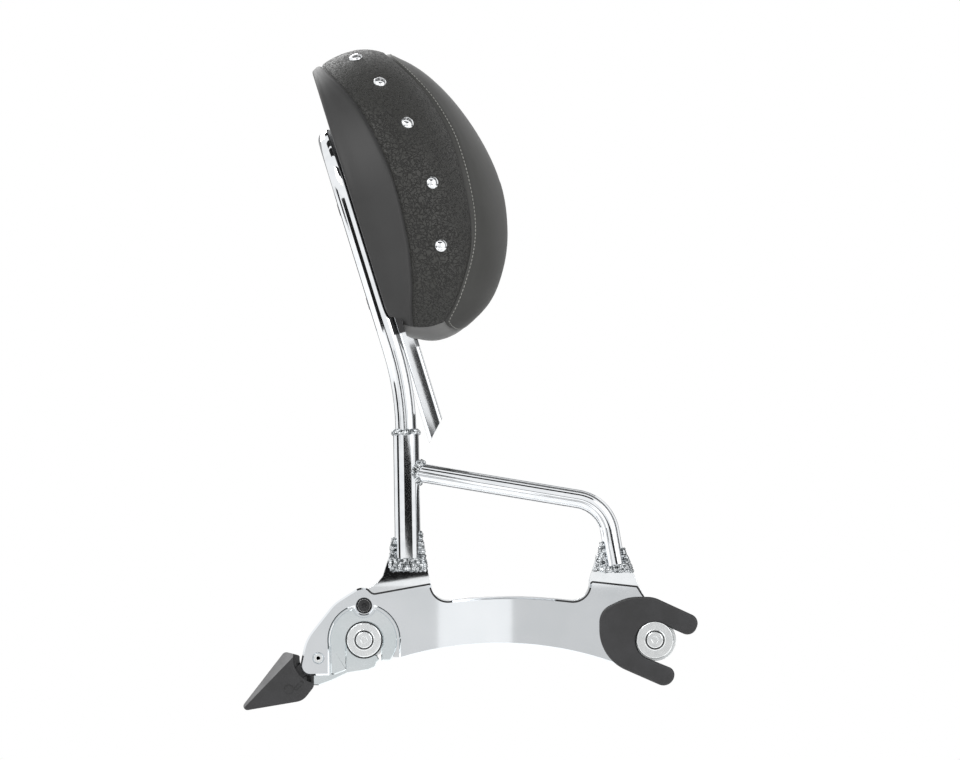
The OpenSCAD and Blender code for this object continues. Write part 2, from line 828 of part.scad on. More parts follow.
module pad_board() {
    half = pad_w / 2 - skirt_t - slip;
    color("black")
        bar_frame()
            difference() {
                board_solid(board_back, board_t, half, board_low, pad_low + pad_h - skirt_t - 2);
                translate([0, -rail_w / 2 - 0.5, 0])
                    cube([board_front + 1, rail_w + 1, rail_top + 1]);
                for (z = [lower_cross_z, upper_cross_z])
                    for (side = [-1, 1])
                        translate([0, side * pad_bolt_y, z])
                            rotate([0, 90, 0])
                                cylinder(h = 2 * board_front, r = pad_bolt_r + slip, $fn = 24);
            }
}

// Length and radius of a stud's pin
stud_shank = 8;
stud_pin_r = 2;
// Studs on each side: [height on the bar, depth], both in the bar frame
stud_spots = [[330.4, 51.1], [301.6, 66.4], [252.4, 81.3], [189.3, 85.9], [126.4, 76.9]];
// Turn of the padding's surface at a stud, from 0 on the crown of the arch to 90 on the sides
function stud_roll(s) = s[0] > arch_z(s[1]) ? acos((s[0] - arch_z(s[1])) / arch_r(s[1])) : 90;
function stud_y(s) = arch_r(s[1]) * sin(stud_roll(s));
// How far the padding's surface stands out at depth x, along a stud's roll, and its lean to the front
function stand_out(x, roll) = arch_r(x) + arch_z(x) * cos(roll);
function stud_lean(s) = atan(stand_out(s[1], stud_roll(s)) - stand_out(s[1] + 1, stud_roll(s)));

module stud_places() {
    for (side = [-1, 1])
        for (s = stud_spots)
            translate([s[1], side * stud_y(s), s[0]])
                rotate([-side * stud_roll(s), 0, 0])
                    rotate([0, stud_lean(s), 0])
                        translate([0, 0, -stud_sink])
                            children();
}

module pad_cushion() {
    depths = [0, 0.06, 0.15, 0.29, 0.45, 0.6, 0.72, 0.82, 0.9, 0.96, 0.99];
    color("darkslategray")
        bar_frame()
            difference() {
                hull()
                    for (t = depths)
                        pad_slice(pad_back + t * pad_depth);
                board_solid(-past, board_front + past + slip, recess_half, -100, pad_low + pad_h - skirt_t - 1.9);
                translate([0, -rail_w / 2 - 0.5, -100])
                    cube([rail_back + rail_depth + 0.5, rail_w + 1, rail_top + 101]);
                stud_places() {
                    translate([0, 0, -stud_shank - past])
                        cylinder(h = stud_shank + 2 * past, r = stud_pin_r + slip, $fn = 16);
                    cylinder(h = 20, r = stud_r + 0.3, $fn = 32);
                }
            }
}

module pad_studs() {
    color("silver")
        bar_frame()
            stud_places() {
                intersection() {
                    translate([0, 0, stud_h - (stud_r * stud_r + stud_h * stud_h) / (2 * stud_h)])
                        sphere((stud_r * stud_r + stud_h * stud_h) / (2 * stud_h), $fn = 48);
                    cylinder(h = 2 * stud_h, r = stud_r, $fn = 48);
                }
                translate([0, 0, -stud_shank])
                    cylinder(h = stud_shank, r = stud_pin_r, $fn = 24);
            }
}

module pad_bolts() {
    color("dimgray")
        bar_frame()
            for (z = [lower_cross_z, upper_cross_z])
                for (side = [-1, 1])
                    translate([-cross_r - 3, side * pad_bolt_y, z])
                        rotate([0, 90, 0])
                            difference() {
                                union() {
                                    cylinder(h = 3, r = 6, $fn = 36);
                                    cylinder(h = 3 + cross_r + board_front - 1, r = pad_bolt_r, $fn = 24);
                                }
                                translate([0, 0, -1])
                                    cylinder(h = 3, r = 2.5, $fn = 6);
                            }
}

hoop();
cross_tube(upper_cross_z);  // upper_cross_tube
cross_tube(lower_cross_z);  // lower_cross_tube
pad_rail();
right_side() stanchion();  // right_stanchion
stanchion();  // left_stanchion
other_side() brace();  // right_brace
brace();  // left_brace
right_side() inner_plate();  // right_inner_plate
inner_plate();  // left_inner_plate
right_side() side_plate();  // right_side_plate
side_plate();  // left_side_plate
right_side() fork();  // right_fork
fork();  // left_fork
right_side() latch_hook();  // right_latch_hook
latch_hook();  // left_latch_hook
right_side() latch_arm();  // right_latch_arm
latch_arm();  // left_latch_arm
right_side() lever();  // right_lever
lever();  // left_lever
right_side() lever_screw();  // right_lever_screw
lever_screw();  // left_lever_screw
right_side() lever_nut();  // right_lever_nut
lever_nut();  // left_lever_nut
right_side() hook_pin();  // right_hook_pin
hook_pin();  // left_hook_pin
right_side() plate_screws();  // right_plate_screws
plate_screws();  // left_plate_screws
right_side() roller(0, rear_roller_r, rear_face);  // right_rear_roller
roller(0, rear_roller_r, rear_face);  // left_rear_roller
right_side() docking_washer(0, rear_washer_r, rear_face);  // right_rear_washer
docking_washer(0, rear_washer_r, rear_face);  // left_rear_washer
right_side() docking_bolt(0, rear_face);  // right_rear_bolt
docking_bolt(0, rear_face);  // left_rear_bolt
right_side() roller(dock_pitch, front_roller_r, front_face);  // right_front_roller
roller(dock_pitch, front_roller_r, front_face);  // left_front_roller
right_side() docking_washer(dock_pitch, front_washer_r, front_face);  // right_front_washer
docking_washer(dock_pitch, front_washer_r, front_face);  // left_front_washer
right_side() docking_bolt(dock_pitch, front_face);  // right_front_bolt
docking_bolt(dock_pitch, front_face);  // left_front_bolt
pad_board();
pad_cushion();
pad_studs();
pad_bolts();
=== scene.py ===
"""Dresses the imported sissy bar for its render. Metres, +X forward, +Y to the bike's left, +Z up."""

import math

import bmesh
import bpy
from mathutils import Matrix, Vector, noise


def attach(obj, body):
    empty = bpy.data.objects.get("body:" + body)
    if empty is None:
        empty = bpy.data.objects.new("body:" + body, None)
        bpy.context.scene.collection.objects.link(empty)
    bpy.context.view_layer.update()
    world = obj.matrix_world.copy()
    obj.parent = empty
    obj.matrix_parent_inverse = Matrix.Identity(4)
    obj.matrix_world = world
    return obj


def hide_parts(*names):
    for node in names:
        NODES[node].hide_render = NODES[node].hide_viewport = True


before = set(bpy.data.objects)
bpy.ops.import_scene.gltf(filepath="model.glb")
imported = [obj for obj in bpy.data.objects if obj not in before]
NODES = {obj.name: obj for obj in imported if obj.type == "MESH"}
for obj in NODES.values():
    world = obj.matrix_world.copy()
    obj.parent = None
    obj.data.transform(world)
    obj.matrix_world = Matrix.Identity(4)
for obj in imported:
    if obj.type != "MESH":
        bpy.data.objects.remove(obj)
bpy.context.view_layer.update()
FIXED = "frame"
SIDES = {"right": -1, "left": 1}
MM = 0.001

# Sizes that the pieces share with the CAD, in mm
DOCK_PITCH = 291.0
WALL = 2.0
TUBE_Y = 115.0
FOOT_Z = 71.0
POST_X = 44.1
POST_LEAN = math.radians(0.9)
POST_R = 12.8
POST_TOP = 208.0
HOOP_LEAN = math.radians(17.2)
HOOP_R = 10.5
HOOP_END_Z = 120.0
HOOP_BEND_R = 290.0
HOOP_CORNER_R = 60.0
HOOP_RISE = 260.0
BEND_Z = 251.4
BRACE_R = 9.5
BRACE_SLOPE = math.radians(9.4)
BRACE_LEAN = math.radians(10)
BRACE_BEND_R = 38.5
BRACE_Z = 169.5
BRACE_FOOT_X = 252.5
# Faces of the inner plate, the side plate, the hook and the fork, from the centre plane
PLATE_BACK, PLATE_MIDDLE, PLATE_FRONT = 112.0, 118.0, 124.0
HOOK_FRONT = 123.0
FORK_FRONT = 134.0
SIDE_PLAY = 0.2
LEVER_HALF = 8.5


# Colours and nodes


def linear(hex_colour):
    """sRGB hex to the linear colour that a shader takes."""
    values = [int(hex_colour[i : i + 2], 16) / 255 for i in (1, 3, 5)]
    return [v / 12.92 if v <= 0.04045 else ((v + 0.055) / 1.055) ** 2.4 for v in values] + [1.0]


def add(tree, kind, inputs=None, ramp=None, **settings):
    """A new node: its settings, then each input as a value or as the socket that feeds it."""
    node = tree.nodes.new(kind)
    for name, value in settings.items():
        setattr(node, name, value)
    for name, value in (inputs or {}).items():
        if isinstance(value, bpy.types.NodeSocket):
            tree.links.new(value, node.inputs[name])
        else:
            node.inputs[name].default_value = value
    if ramp:
        stops = node.color_ramp.elements
        while len(stops) < len(ramp):
            stops.new(0.5)
        for stop, (place, colour) in zip(stops, ramp):
            stop.position = place
            stop.color = colour
    return node


def grey(value):
    return [value, value, value, 1.0]


def empty_tree(owner):
    """Node tree of a new material or world, with nothing in it."""
    owner.use_nodes = True
    owner.node_tree.nodes.clear()
    return owner.node_tree


def surface(name, **shader_values):
    """A material with its shader and its output. Returns (material, tree, shader, object coordinates)."""
    material = bpy.data.materials.new(name)
    tree = empty_tree(material)
    values = {label.replace("_", " "): value for label, value in shader_values.items()}
    shader = add(tree, "ShaderNodeBsdfPrincipled", values)
    add(tree, "ShaderNodeOutputMaterial", {"Surface": shader.outputs["BSDF"]})
    place = add(tree, "ShaderNodeTexCoord").outputs["Object"]
    return material, tree, shader, place


def per_metre(size_mm):
    """Scale of a pattern on object coordinates whose repeat is size_mm."""
    return 1 / (size_mm * MM)


def dress_shader(tree, shader, colour, rough, bump, span=(0.0, 1.0)):
    """Drives a shader by patterns. colour: the pattern and two (place, tint). rough: the pattern and the
    roughness at either end of its span. bump: the pattern, its strength and its height in mm."""
    shade, *stops = colour
    ramp = [(place, linear(tint)) for place, tint in stops]
    tinted = add(tree, "ShaderNodeValToRGB", {"Fac": shade}, ramp=ramp)
    wear, low, high = rough
    limits = {"From Min": span[0], "From Max": span[1], "To Min": low, "To Max": high}
    matt = add(tree, "ShaderNodeMapRange", {"Value": wear, **limits})
    height, strength, depth = bump
    relief = add(tree, "ShaderNodeBump", {"Height": height, "Strength": strength, "Distance": depth * MM})
    tree.links.new(tinted.outputs["Color"], shader.inputs["Base Color"])
    tree.links.new(matt.outputs["Result"], shader.inputs["Roughness"])
    tree.links.new(relief.outputs["Normal"], shader.inputs["Normal"])


# Metal finishes


def chrome(name, tint, polish, wave):
    """Nickel-chrome plating on steel, buffed: a mirror with the slightest waviness from the buffing wheel."""
    material, tree, shader, place = surface(name, Metallic=1.0)
    wavy = add(tree, "ShaderNodeTexNoise", {"Vector": place, "Scale": per_metre(24), "Detail": 2.0})
    haze = add(tree, "ShaderNodeTexNoise", {"Vector": place, "Scale": per_metre(9), "Detail": 4.0})
    hazy = haze.outputs["Fac"]
    dress_shader(
        tree, shader, colour=(hazy, (0.3, tint), (0.8, "#f4f6f8")), rough=(hazy, polish * 0.7, polish * 1.5),
        bump=(wavy.outputs["Fac"], 0.25, wave),
    )
    return material


def brushed(name, tint, light, rough_low, rough_high, grain):
    """Plate finished with a belt, then plated: fine lines along X that stretch each highlight across them."""
    material, tree, shader, place = surface(name, Metallic=1.0)
    drawn = add(tree, "ShaderNodeMapping", {"Vector": place, "Scale": grain})
    lines = add(tree, "ShaderNodeTexNoise", {"Vector": drawn.outputs["Vector"], "Scale": 1.0, "Detail": 3.0})
    cloud = add(tree, "ShaderNodeTexNoise", {"Vector": place, "Scale": per_metre(40), "Detail": 2.0})
    lined = lines.outputs["Fac"]
    dress_shader(
        tree, shader, colour=(cloud.outputs["Fac"], (0.3, tint), (0.7, light)),
        rough=(lined, rough_low, rough_high), bump=(lined, 0.1, 0.004), span=(0.3, 0.7),
    )
    return material


def turned(name, axis_x):
    """Bright steel faced on a lathe: fine rings round the docking axis at axis_x, in metres."""
    material, tree, shader, place = surface(name, Metallic=1.0)
    centred = add(tree, "ShaderNodeMapping", {"Vector": place, "Location": (-axis_x, 0, 0)}).outputs["Vector"]
    flat = add(tree, "ShaderNodeVectorMath", {0: centred, 1: (1, 0, 1)}, operation="MULTIPLY")
    reach = add(tree, "ShaderNodeVectorMath", {0: flat.outputs["Vector"]}, operation="LENGTH")
    # A lathe's feed of 0.1 mm would not show, so the rings are drawn 0.8 mm apart
    turns = math.tau * per_metre(0.8)
    ring = add(tree, "ShaderNodeMath", {0: reach.outputs["Value"], 1: turns}, operation="MULTIPLY")
    wave = add(tree, "ShaderNodeMath", {0: ring.outputs["Value"]}, operation="SINE").outputs["Value"]
    cloud = add(tree, "ShaderNodeTexNoise", {"Vector": place, "Scale": per_metre(6), "Detail": 3.0})
    dress_shader(
        tree, shader, colour=(cloud.outputs["Fac"], (0.3, "#eff2f3"), (0.7, "#f8fafa")),
        rough=(wave, 0.16, 0.22), bump=(wave, 0.15, 0.008), span=(-1.0, 1.0),
    )
    return material


def welded(name):
    """Weld bead, plated over but not buffed: silver ripples with darker hollows."""
    material, tree, shader, place = surface(name, Metallic=1.0)
    spots = add(tree, "ShaderNodeTexNoise", {"Vector": place, "Scale": per_metre(3.2), "Detail": 4.0})
    spotted = spots.outputs["Fac"]
    dress_shader(
        tree, shader, colour=(spotted, (0.4, "#5e6264"), (0.6, "#e2e5e7")), rough=(spotted, 0.4, 0.12),
        bump=(spotted, 0.8, 0.5),
    )
    return material


def coated(name, dark, light, grit_mm, rough_low, rough_high, relief):
    """Powder coat, black oxide, board or thread, and the painted shade of the dark rings and the painted
    highlight of the lever's bevels: an even skin with a fine grit and paler spots.
    """
    material, tree, shader, place = surface(name)
    grit = add(tree, "ShaderNodeTexNoise", {"Vector": place, "Scale": per_metre(grit_mm), "Detail": 3.0})
    worn = add(tree, "ShaderNodeTexNoise", {"Vector": place, "Scale": per_metre(18), "Detail": 4.0})
    rubbed = worn.outputs["Fac"]
    dress_shader(
        tree, shader, colour=(rubbed, (0.35, dark), (0.75, light)), rough=(rubbed, rough_low, rough_high),
        bump=(grit.outputs["Fac"], 0.5, relief),
    )
    return material


# Cover


def smooth_cover(name, dark, light):
    """Vinyl-coated cover, smooth side: fine calendered grain, soft sheen, paler where it is stretched."""
    material, tree, shader, place = surface(name, Sheen_Weight=0.12, Sheen_Roughness=0.4)
    pores = add(tree, "ShaderNodeTexVoronoi", {"Vector": place, "Scale": per_metre(1.1)})
    soft = add(tree, "ShaderNodeTexNoise", {"Vector": place, "Scale": per_metre(45), "Detail": 3.0})
    stretched = soft.outputs["Fac"]
    dress_shader(
        tree, shader, colour=(stretched, (0.3, dark), (0.7, light)), rough=(stretched, 0.5, 0.64),
        bump=(pores.outputs["Distance"], 0.25, 0.08),
    )
    return material


def grained_cover(name):
    """Vinyl-coated cover, embossed: round pebbles about 4 mm across, darker in the creases between them."""
    material, tree, shader, place = surface(name, Sheen_Weight=0.08, Sheen_Roughness=0.4)
    bend = add(tree, "ShaderNodeTexNoise", {"Vector": place, "Scale": per_metre(7), "Detail": 2.0})
    wander = 13 * MM
    bent = add(
        tree, "ShaderNodeVectorMath", {0: bend.outputs["Color"], 1: (wander, wander, wander), 2: place},
        operation="MULTIPLY_ADD",
    )
    pebble = add(
        tree, "ShaderNodeTexVoronoi", {"Vector": bent.outputs["Vector"], "Scale": per_metre(4.0)},
        feature="DISTANCE_TO_EDGE",
    )
    fine = add(tree, "ShaderNodeTexNoise", {"Vector": place, "Scale": per_metre(1.6), "Detail": 3.0})
    crease = add(
        tree, "ShaderNodeMapRange", {"Value": pebble.outputs["Distance"], "From Max": 0.16},
        interpolation_type="SMOOTHSTEP",
    ).outputs["Result"]
    height = add(
        tree, "ShaderNodeMath", {0: fine.outputs["Fac"], 1: 0.45, 2: crease}, operation="MULTIPLY_ADD",
    ).outputs["Value"]
    dress_shader(
        tree, shader, colour=(crease, (0.0, "#191917"), (1.0, "#2d2d2a")), rough=(crease, 0.72, 0.5),
        bump=(height, 0.9, 0.7),
    )
    return material


TUBE_CHROME = chrome("chrome_plated_tube", "#e6e9ec", 0.05, 0.05)
PLATE_CHROME = chrome("chrome_plated_plate", "#e9ecee", 0.035, 0.01)
STUD_CHROME = chrome("chrome_plated_stud", "#e9ebed", 0.06, 0.02)
WELD_CHROME = welded("chrome_plated_weld")
# How long and how far apart the lines of the belt are
SATIN_GRAIN = (per_metre(40), 1, per_metre(0.5))
ZINC_GRAIN = (per_metre(30), 1, per_metre(0.6))
SATIN_PLATE = brushed("satin_chrome_plate", "#eaeef1", "#f0f3f6", 0.05, 0.08, SATIN_GRAIN)
ZINC_PLATE = brushed("bright_zinc_steel", "#e4ecee", "#edf2f4", 0.1, 0.16, ZINC_GRAIN)
REAR_TURNED = turned("turned_steel_rear", 0.0)
FRONT_TURNED = turned("turned_steel_front", DOCK_PITCH * MM)
DARK_COAT = coated("dark_powder_coat", "#2a2a2b", "#333335", 0.7, 0.42, 0.55, 0.08)
# Lighter coat on the lever's wide bevels: a painted highlight
LEVER_FACET_HIGHLIGHT = coated("powder_coat_painted_highlight", "#6b6b6c", "#89898a", 0.9, 0.35, 0.5, 0.06)
# Near-black rings round the washer and bolt heads: painted shade of the gaps
GAP_SHADE_BLACK = coated("painted_gap_shade", "#101011", "#19191a", 0.8, 0.6, 0.75, 0.05)
# Black oxide of the pins, screws and bolts, and the painted dark reflection on the side plate's chamfer
BLACK_OXIDE_AND_PAINTED_REFLECTION = coated("black_oxide_steel", "#151516", "#29292b", 1.2, 0.3, 0.5, 0.04)
BOARD_PLASTIC = coated("moulded_abs_board", "#1c1c1d", "#262627", 1.0, 0.55, 0.7, 0.1)
SIDE_COVER = smooth_cover("smooth_vinyl_cover", "#2b2b2b", "#313131")
FRONT_COVER = smooth_cover("smooth_vinyl_front", "#343432", "#3b3b39")
# Paler vinyl under the pad: painted light, the floor's light on its underside
UNDERSIDE_PAINTED_LIGHT = smooth_cover("smooth_vinyl_underside_painted_light", "#666666", "#7a7a79")
GRAINED_COVER = grained_cover("grained_vinyl_cover")
THREAD = coated("bonded_nylon_thread", "#8a8a86", "#a5a5a0", 0.5, 0.6, 0.7, 0.05)


# Meshes and pieces


def put(name, data):
    """A new object in the scene."""
    piece = bpy.data.objects.new(name, data)
    bpy.context.scene.collection.objects.link(piece)
    return piece


def baked(piece):
    """Plain mesh of a piece with its modifiers applied."""
    return bpy.data.meshes.new_from_object(piece.evaluated_get(bpy.context.evaluated_depsgraph_get()))


def shown(name, mesh, material, body, replaced=(), sharp=35, flats=False):
    """Puts a finished mesh on its body, smooth except at corners sharper than that angle in degrees.
    With flats, broad faces stay flat mirrors and only their rounded corners bend the reflection.
    A mesh with materials of its own is given none."""
    if material:
        mesh.materials.clear()
        mesh.materials.append(material)
    mesh.shade_smooth()
    mesh.set_sharp_from_angle(angle=math.radians(sharp))
    piece = put(name, mesh)
    if flats:
        level_faces = piece.modifiers.new("flats", "WEIGHTED_NORMAL")
        level_faces.keep_sharp = True
        piece.data = baked(piece)
        piece.modifiers.remove(level_faces)
    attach(piece, body)
    if replaced:
        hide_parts(*replaced)
    return piece


def mesh_of(name, bm):
    mesh = bpy.data.meshes.new(name)
    bm.to_mesh(mesh)
    bm.free()
    return mesh


def cad_copy(node):
    """Editable copy of a CAD node, with the triangles of each flat face joined."""
    bm = bmesh.new()
    bm.from_mesh(NODES[node].data)
    bmesh.ops.remove_doubles(bm, verts=bm.verts, dist=0.002 * MM)
    bmesh.ops.dissolve_limit(bm, angle_limit=math.radians(0.4), verts=bm.verts, edges=bm.edges)
    return bm


def eased(node, name, width, segments, planes=None):
    """Copy of a CAD node with its corners rounded, all of them or only those in planes at these distances
    from the centre plane, in mm."""
    bm = cad_copy(node)

    def in_plane(edge):
        if planes is None:
            return True
        return any(all(abs(abs(v.co.y) - y * MM) < 0.01 * MM for v in edge.verts) for y in planes)

    corners = [
        e for e in bm.edges
        if len(e.link_faces) == 2 and e.calc_face_angle() > math.radians(50) and in_plane(e)
    ]
    bmesh.ops.bevel(
        bm, geom=corners, offset=width * MM, offset_type="OFFSET", segments=segments, profile=0.5,
        affect="EDGES", clamp_overlap=planes is None,
    )
    return mesh_of(name, bm)


def cut(mesh, cutters):
    """The mesh less its cutters, which are used up."""
    piece = put("whole", mesh)
    for cutter in cutters:
        hole = piece.modifiers.new("hole", "BOOLEAN")
        hole.operation = "DIFFERENCE"
        hole.solver = "EXACT"
        hole.object = cutter
    result = baked(piece)
    for spent in [piece] + cutters:
        bpy.data.objects.remove(spent)
    return result


def around(count):
    """Angles of so many points round a full turn."""
    return [math.tau * k / count for k in range(count)]


def circle(centre, a, b, radius, count):
    """Points round a circle that a and b span, in metres; centre and radius are in mm."""
    return [(centre + radius * (a * math.cos(t) + b * math.sin(t))) * MM for t in around(count)]


def bridge(bm, low, high):
    """Faces between two closed rings of as many points."""
    count = len(low)
    for k in range(count):
        n = (k + 1) % count
        bm.faces.new((low[k], low[n], high[n], high[k]))


# Lines of the tubes

POST_UP = Vector((-math.sin(POST_LEAN), 0, math.cos(POST_LEAN)))
BRACE_RUN = Vector((math.cos(BRACE_SLOPE), 0, -math.sin(BRACE_SLOPE)))
BRACE_UP = Vector((-math.sin(BRACE_LEAN), 0, math.cos(BRACE_LEAN)))


def post_x(z):
    return POST_X - (z - FOOT_Z) * math.tan(POST_LEAN)


BAR_UP = Vector((-math.sin(HOOP_LEAN), 0, math.cos(HOOP_LEAN)))
BAR_FRONT = Vector((math.cos(HOOP_LEAN), 0, math.sin(HOOP_LEAN)))
BAR_ORIGIN = Vector((post_x(BEND_Z), 0, BEND_Z))


def on_bar(x, y, z):
    """Place in the scene, in metres, of a point in the leaning bar's own frame, in mm."""
    return (BAR_ORIGIN + BAR_FRONT * x + BAR_UP * z + Vector((0, y, 0))) * MM


# Degrees of a bend between two rings of a tube
BEND_STEP = math.radians(3)


def bent_line(corners, radii):
    """[point, direction] along a line that turns round each inner corner at its radius."""
    stations = [[corners[0], (corners[1] - corners[0]).normalized()]]
    for before, corner, after, radius in zip(corners, corners[1:], corners[2:], radii):
        u = (corner - before).normalized()
        v = (after - corner).normalized()
        turn = u.angle(v)
        across = (v - u * u.dot(v)).normalized()
        start = corner - u * radius * math.tan(turn / 2)
        count = max(2, math.ceil(turn / BEND_STEP))
        for k in range(count + 1):
            a = turn * k / count
            point = start + radius * (u * math.sin(a) + across * (1 - math.cos(a)))
            stations.append([point, u * math.cos(a) + across * math.sin(a)])
    stations.append([corners[-1], (corners[-1] - corners[-2]).normalized()])
    return stations


def tube(name, stations, radius, zero, sides=40):
    """Open-ended round tube along the stations; zero fixes where each ring starts."""
    bm = bmesh.new()
    walls = []
    for r in (radius, radius - WALL):
        rings = []
        for point, along in stations:
            a = (zero - along * zero.dot(along)).normalized()
            rings.append([bm.verts.new(p) for p in circle(point, a, along.cross(a), r, sides)])
        walls.append(rings)
    for rings in walls:
        for low, high in zip(rings, rings[1:]):
            bridge(bm, low, high)
    outer, inner = walls
    for end in (0, -1):
        bridge(bm, outer[end], inner[end])
    bmesh.ops.recalc_face_normals(bm, faces=bm.faces)
    return mesh_of(name, bm)


def hoop_line():
    corners = []
    for side in (-1, 1):
        y = side * TUBE_Y
        knee = Vector((post_x(BEND_Z), y, BEND_Z))
        leg = [Vector((post_x(HOOP_END_Z), y, HOOP_END_Z)), knee, knee + BAR_UP * HOOP_RISE]
        corners += leg if side < 0 else leg[::-1]
    return bent_line(corners, [HOOP_BEND_R, HOOP_CORNER_R, HOOP_CORNER_R, HOOP_BEND_R])


def brace_line(side):
    start = Vector((post_x(BRACE_Z), side * TUBE_Y, BRACE_Z))
    foot = Vector((BRACE_FOOT_X, side * TUBE_Y, FOOT_Z))
    gap = foot - start
    level_gap = gap.x * math.cos(BRACE_LEAN) + gap.z * math.sin(BRACE_LEAN)
    reach = level_gap / math.cos(BRACE_SLOPE + BRACE_LEAN)
    # The brace starts just inside the stanchion's wall
    mouth = start + BRACE_RUN * (POST_R - 1.5)
    return bent_line([mouth, start + BRACE_RUN * reach, foot], [BRACE_BEND_R])


def turned_ring(name, x, inner, outer, low, high):
    """Ring about the docking axis at x, between two places across, with its outer corner eased."""
    ease, sides = 0.5, 64
    way = 1 if high > low else -1
    profile = [(inner, low), (outer, low), (outer, high - way * ease), (outer - ease, high), (inner, high)]
    bm = bmesh.new()
    rings = []
    for r, y in profile:
        points = circle(Vector((x, y, 0)), Vector((1, 0, 0)), Vector((0, 0, 1)), r, sides)
        rings.append([bm.verts.new(p) for p in points])
    for one, two in zip(rings, rings[1:] + rings[:1]):
        bridge(bm, one, two)
    bmesh.ops.recalc_face_normals(bm, faces=bm.faces)
    return mesh_of(name, bm)


# Painted shade: near-black rings behind the rear washer and under the heads of the docking bolts, in mm:
# [name, docking axis, inner and outer radius, nearest and farthest from the centre plane]
GAP_SHADE_RINGS = [
    ["rear_seal", 0, 10, 18.6, 123.1, 124.2],
    ["rear_head_seal", 0, 7.6, 9.6, 128.1, 129.4],
    ["front_head_seal", DOCK_PITCH, 7.6, 9.6, 138.1, 139.4],
]


def show_tube(name, stations, radius, zero, node, sides=40):
    mesh = tube(name, stations, radius, zero, sides)
    shown(name, mesh, TUBE_CHROME, FIXED, [node])


def dress_tubes():
    show_tube("hoop_tube", hoop_line(), HOOP_R, BAR_FRONT, "hoop")
    for side, sign in SIDES.items():
        show_tube(f"{side}_brace_tube", brace_line(sign), BRACE_R, Vector((0, 1, 0)), f"{side}_brace")
        post = [Vector((post_x(z), sign * TUBE_Y, z)) for z in (FOOT_Z, POST_TOP)]
        up = (post[1] - post[0]).normalized()
        stations = [(end, up) for end in post]
        show_tube(f"{side}_stanchion_tube", stations, POST_R, Vector((1, 0, 0)), f"{side}_stanchion", 64)
        # Near-black rings of painted shade in the gaps round the washer and bolt heads
        for label, x, inner, outer, low, high in GAP_SHADE_RINGS:
            mesh = turned_ring(f"{side}_{label}", x, inner, outer, sign * low, sign * high)
            shown(f"{side}_{label}", mesh, GAP_SHADE_BLACK, FIXED, sharp=60)


# Fork and lever


def rounded(corners):
    """Closed outline of (x, z) points from corners [x, z, radius], in mm."""
    line = []
    for k, (x, z, r) in enumerate(corners):
        here = Vector((x, z))
        if r == 0:
            line.append(here)
            continue
        before, after = corners[k - 1], corners[(k + 1) % len(corners)]
        u = (Vector(before[:2]) - here).normalized()
        v = (Vector(after[:2]) - here).normalized()
        half = u.angle(v) / 2
        centre = here + (u + v).normalized() * r / math.sin(half)
        start = here + u * r / math.tan(half) - centre
        turn = start.angle_signed(here + v * r / math.tan(half) - centre)
        count = max(3, math.ceil(abs(turn) * math.sqrt(r) / 0.35))
        for i in range(count + 1):
            a = -turn * i / count
            c, s = math.cos(a), math.sin(a)
            line.append(centre + Vector((start.x * c - start.y * s, start.x * s + start.y * c)))
    return line


def moulded_plate(name, line, back, front, width, segments):
    """Plate across Y over an outline, with its outer edge rounded; back and front are signed, in mm."""
    count = len(line)
    area = sum(a.x * b.y - b.x * a.y for a, b in zip(line, line[1:] + line[:1]))
    inward = []
    for k in range(count):
        along = (line[(k + 1) % count] - line[k - 1]).normalized()
        inward.append(Vector((-along.y, along.x)) * (1 if area > 0 else -1))
    way = 1 if front > back else -1
    levels = [(back, 0.0), (front - way * width, 0.0)]
    for k in range(1, segments + 1):
        t = math.pi / 2 * k / segments
        levels.append((front - way * width * (1 - math.sin(t)), width * (1 - math.cos(t))))
    bm = bmesh.new()
    rings = []
    for y, inset in levels:
        points = [Vector((p.x + n.x * inset, y, p.y + n.y * inset)) * MM for p, n in zip(line, inward)]
        rings.append([bm.verts.new(p) for p in points])
    for low, high in zip(rings, rings[1:]):
        bridge(bm, low, high)
    bm.faces.new(rings[0])
    bm.faces.new(rings[-1])
    bmesh.ops.recalc_face_normals(bm, faces=bm.faces)
    return mesh_of(name, bm)


# Fork's corners about the front docking axis, above and below its mouth, and the mouth's round end
FORK_TOP = [(-55.7, 30, 19), (-27, 43.3, 45), (-1.9, 43.3, 30), (45.6, 21.5, 9.5), (37.3, 2.4, 9.5)]
FORK_BOTTOM = [(20.2, -29.5, 8), (17.5, -50.5, 11), (-55.7, -18.4, 44)]
MOUTH_CENTRE = (-0.45, -1.11)
MOUTH_R = 18.4


def fork_mesh(name, sign):
    mouth_x, mouth_z = MOUTH_CENTRE
    turn = [math.radians(68 + 7.5 * k) for k in range(25)]
    arc = [(mouth_x + MOUTH_R * math.cos(t), mouth_z + MOUTH_R * math.sin(t), 0) for t in turn]
    corners = [(DOCK_PITCH + x, z, r) for x, z, r in FORK_TOP + arc + FORK_BOTTOM]
    return moulded_plate(name, rounded(corners), sign * PLATE_FRONT, sign * FORK_FRONT, 2.4, 6)


# The lever's upper rear edge, from its tip to its top, and about where its pivot is, in mm
LEVER_TIP = Vector((-126, 0, -71.8))
LEVER_TOP = Vector((-79.5, 0, -11.5))
PIVOT_X, PIVOT_Z = -46, -18
# Marks moulded in its outer face: a round one and a slanted slot with corners [x, z, radius]
ROUND_MARK_X, ROUND_MARK_Z, ROUND_MARK_R = -75.2, -49.5, 5
SLOT_MARK = [(-70.5, -48.5, 1.4), (-62.5, -40, 1.4), (-59.5, -42.5, 1.4), (-67.5, -51, 1.4)]


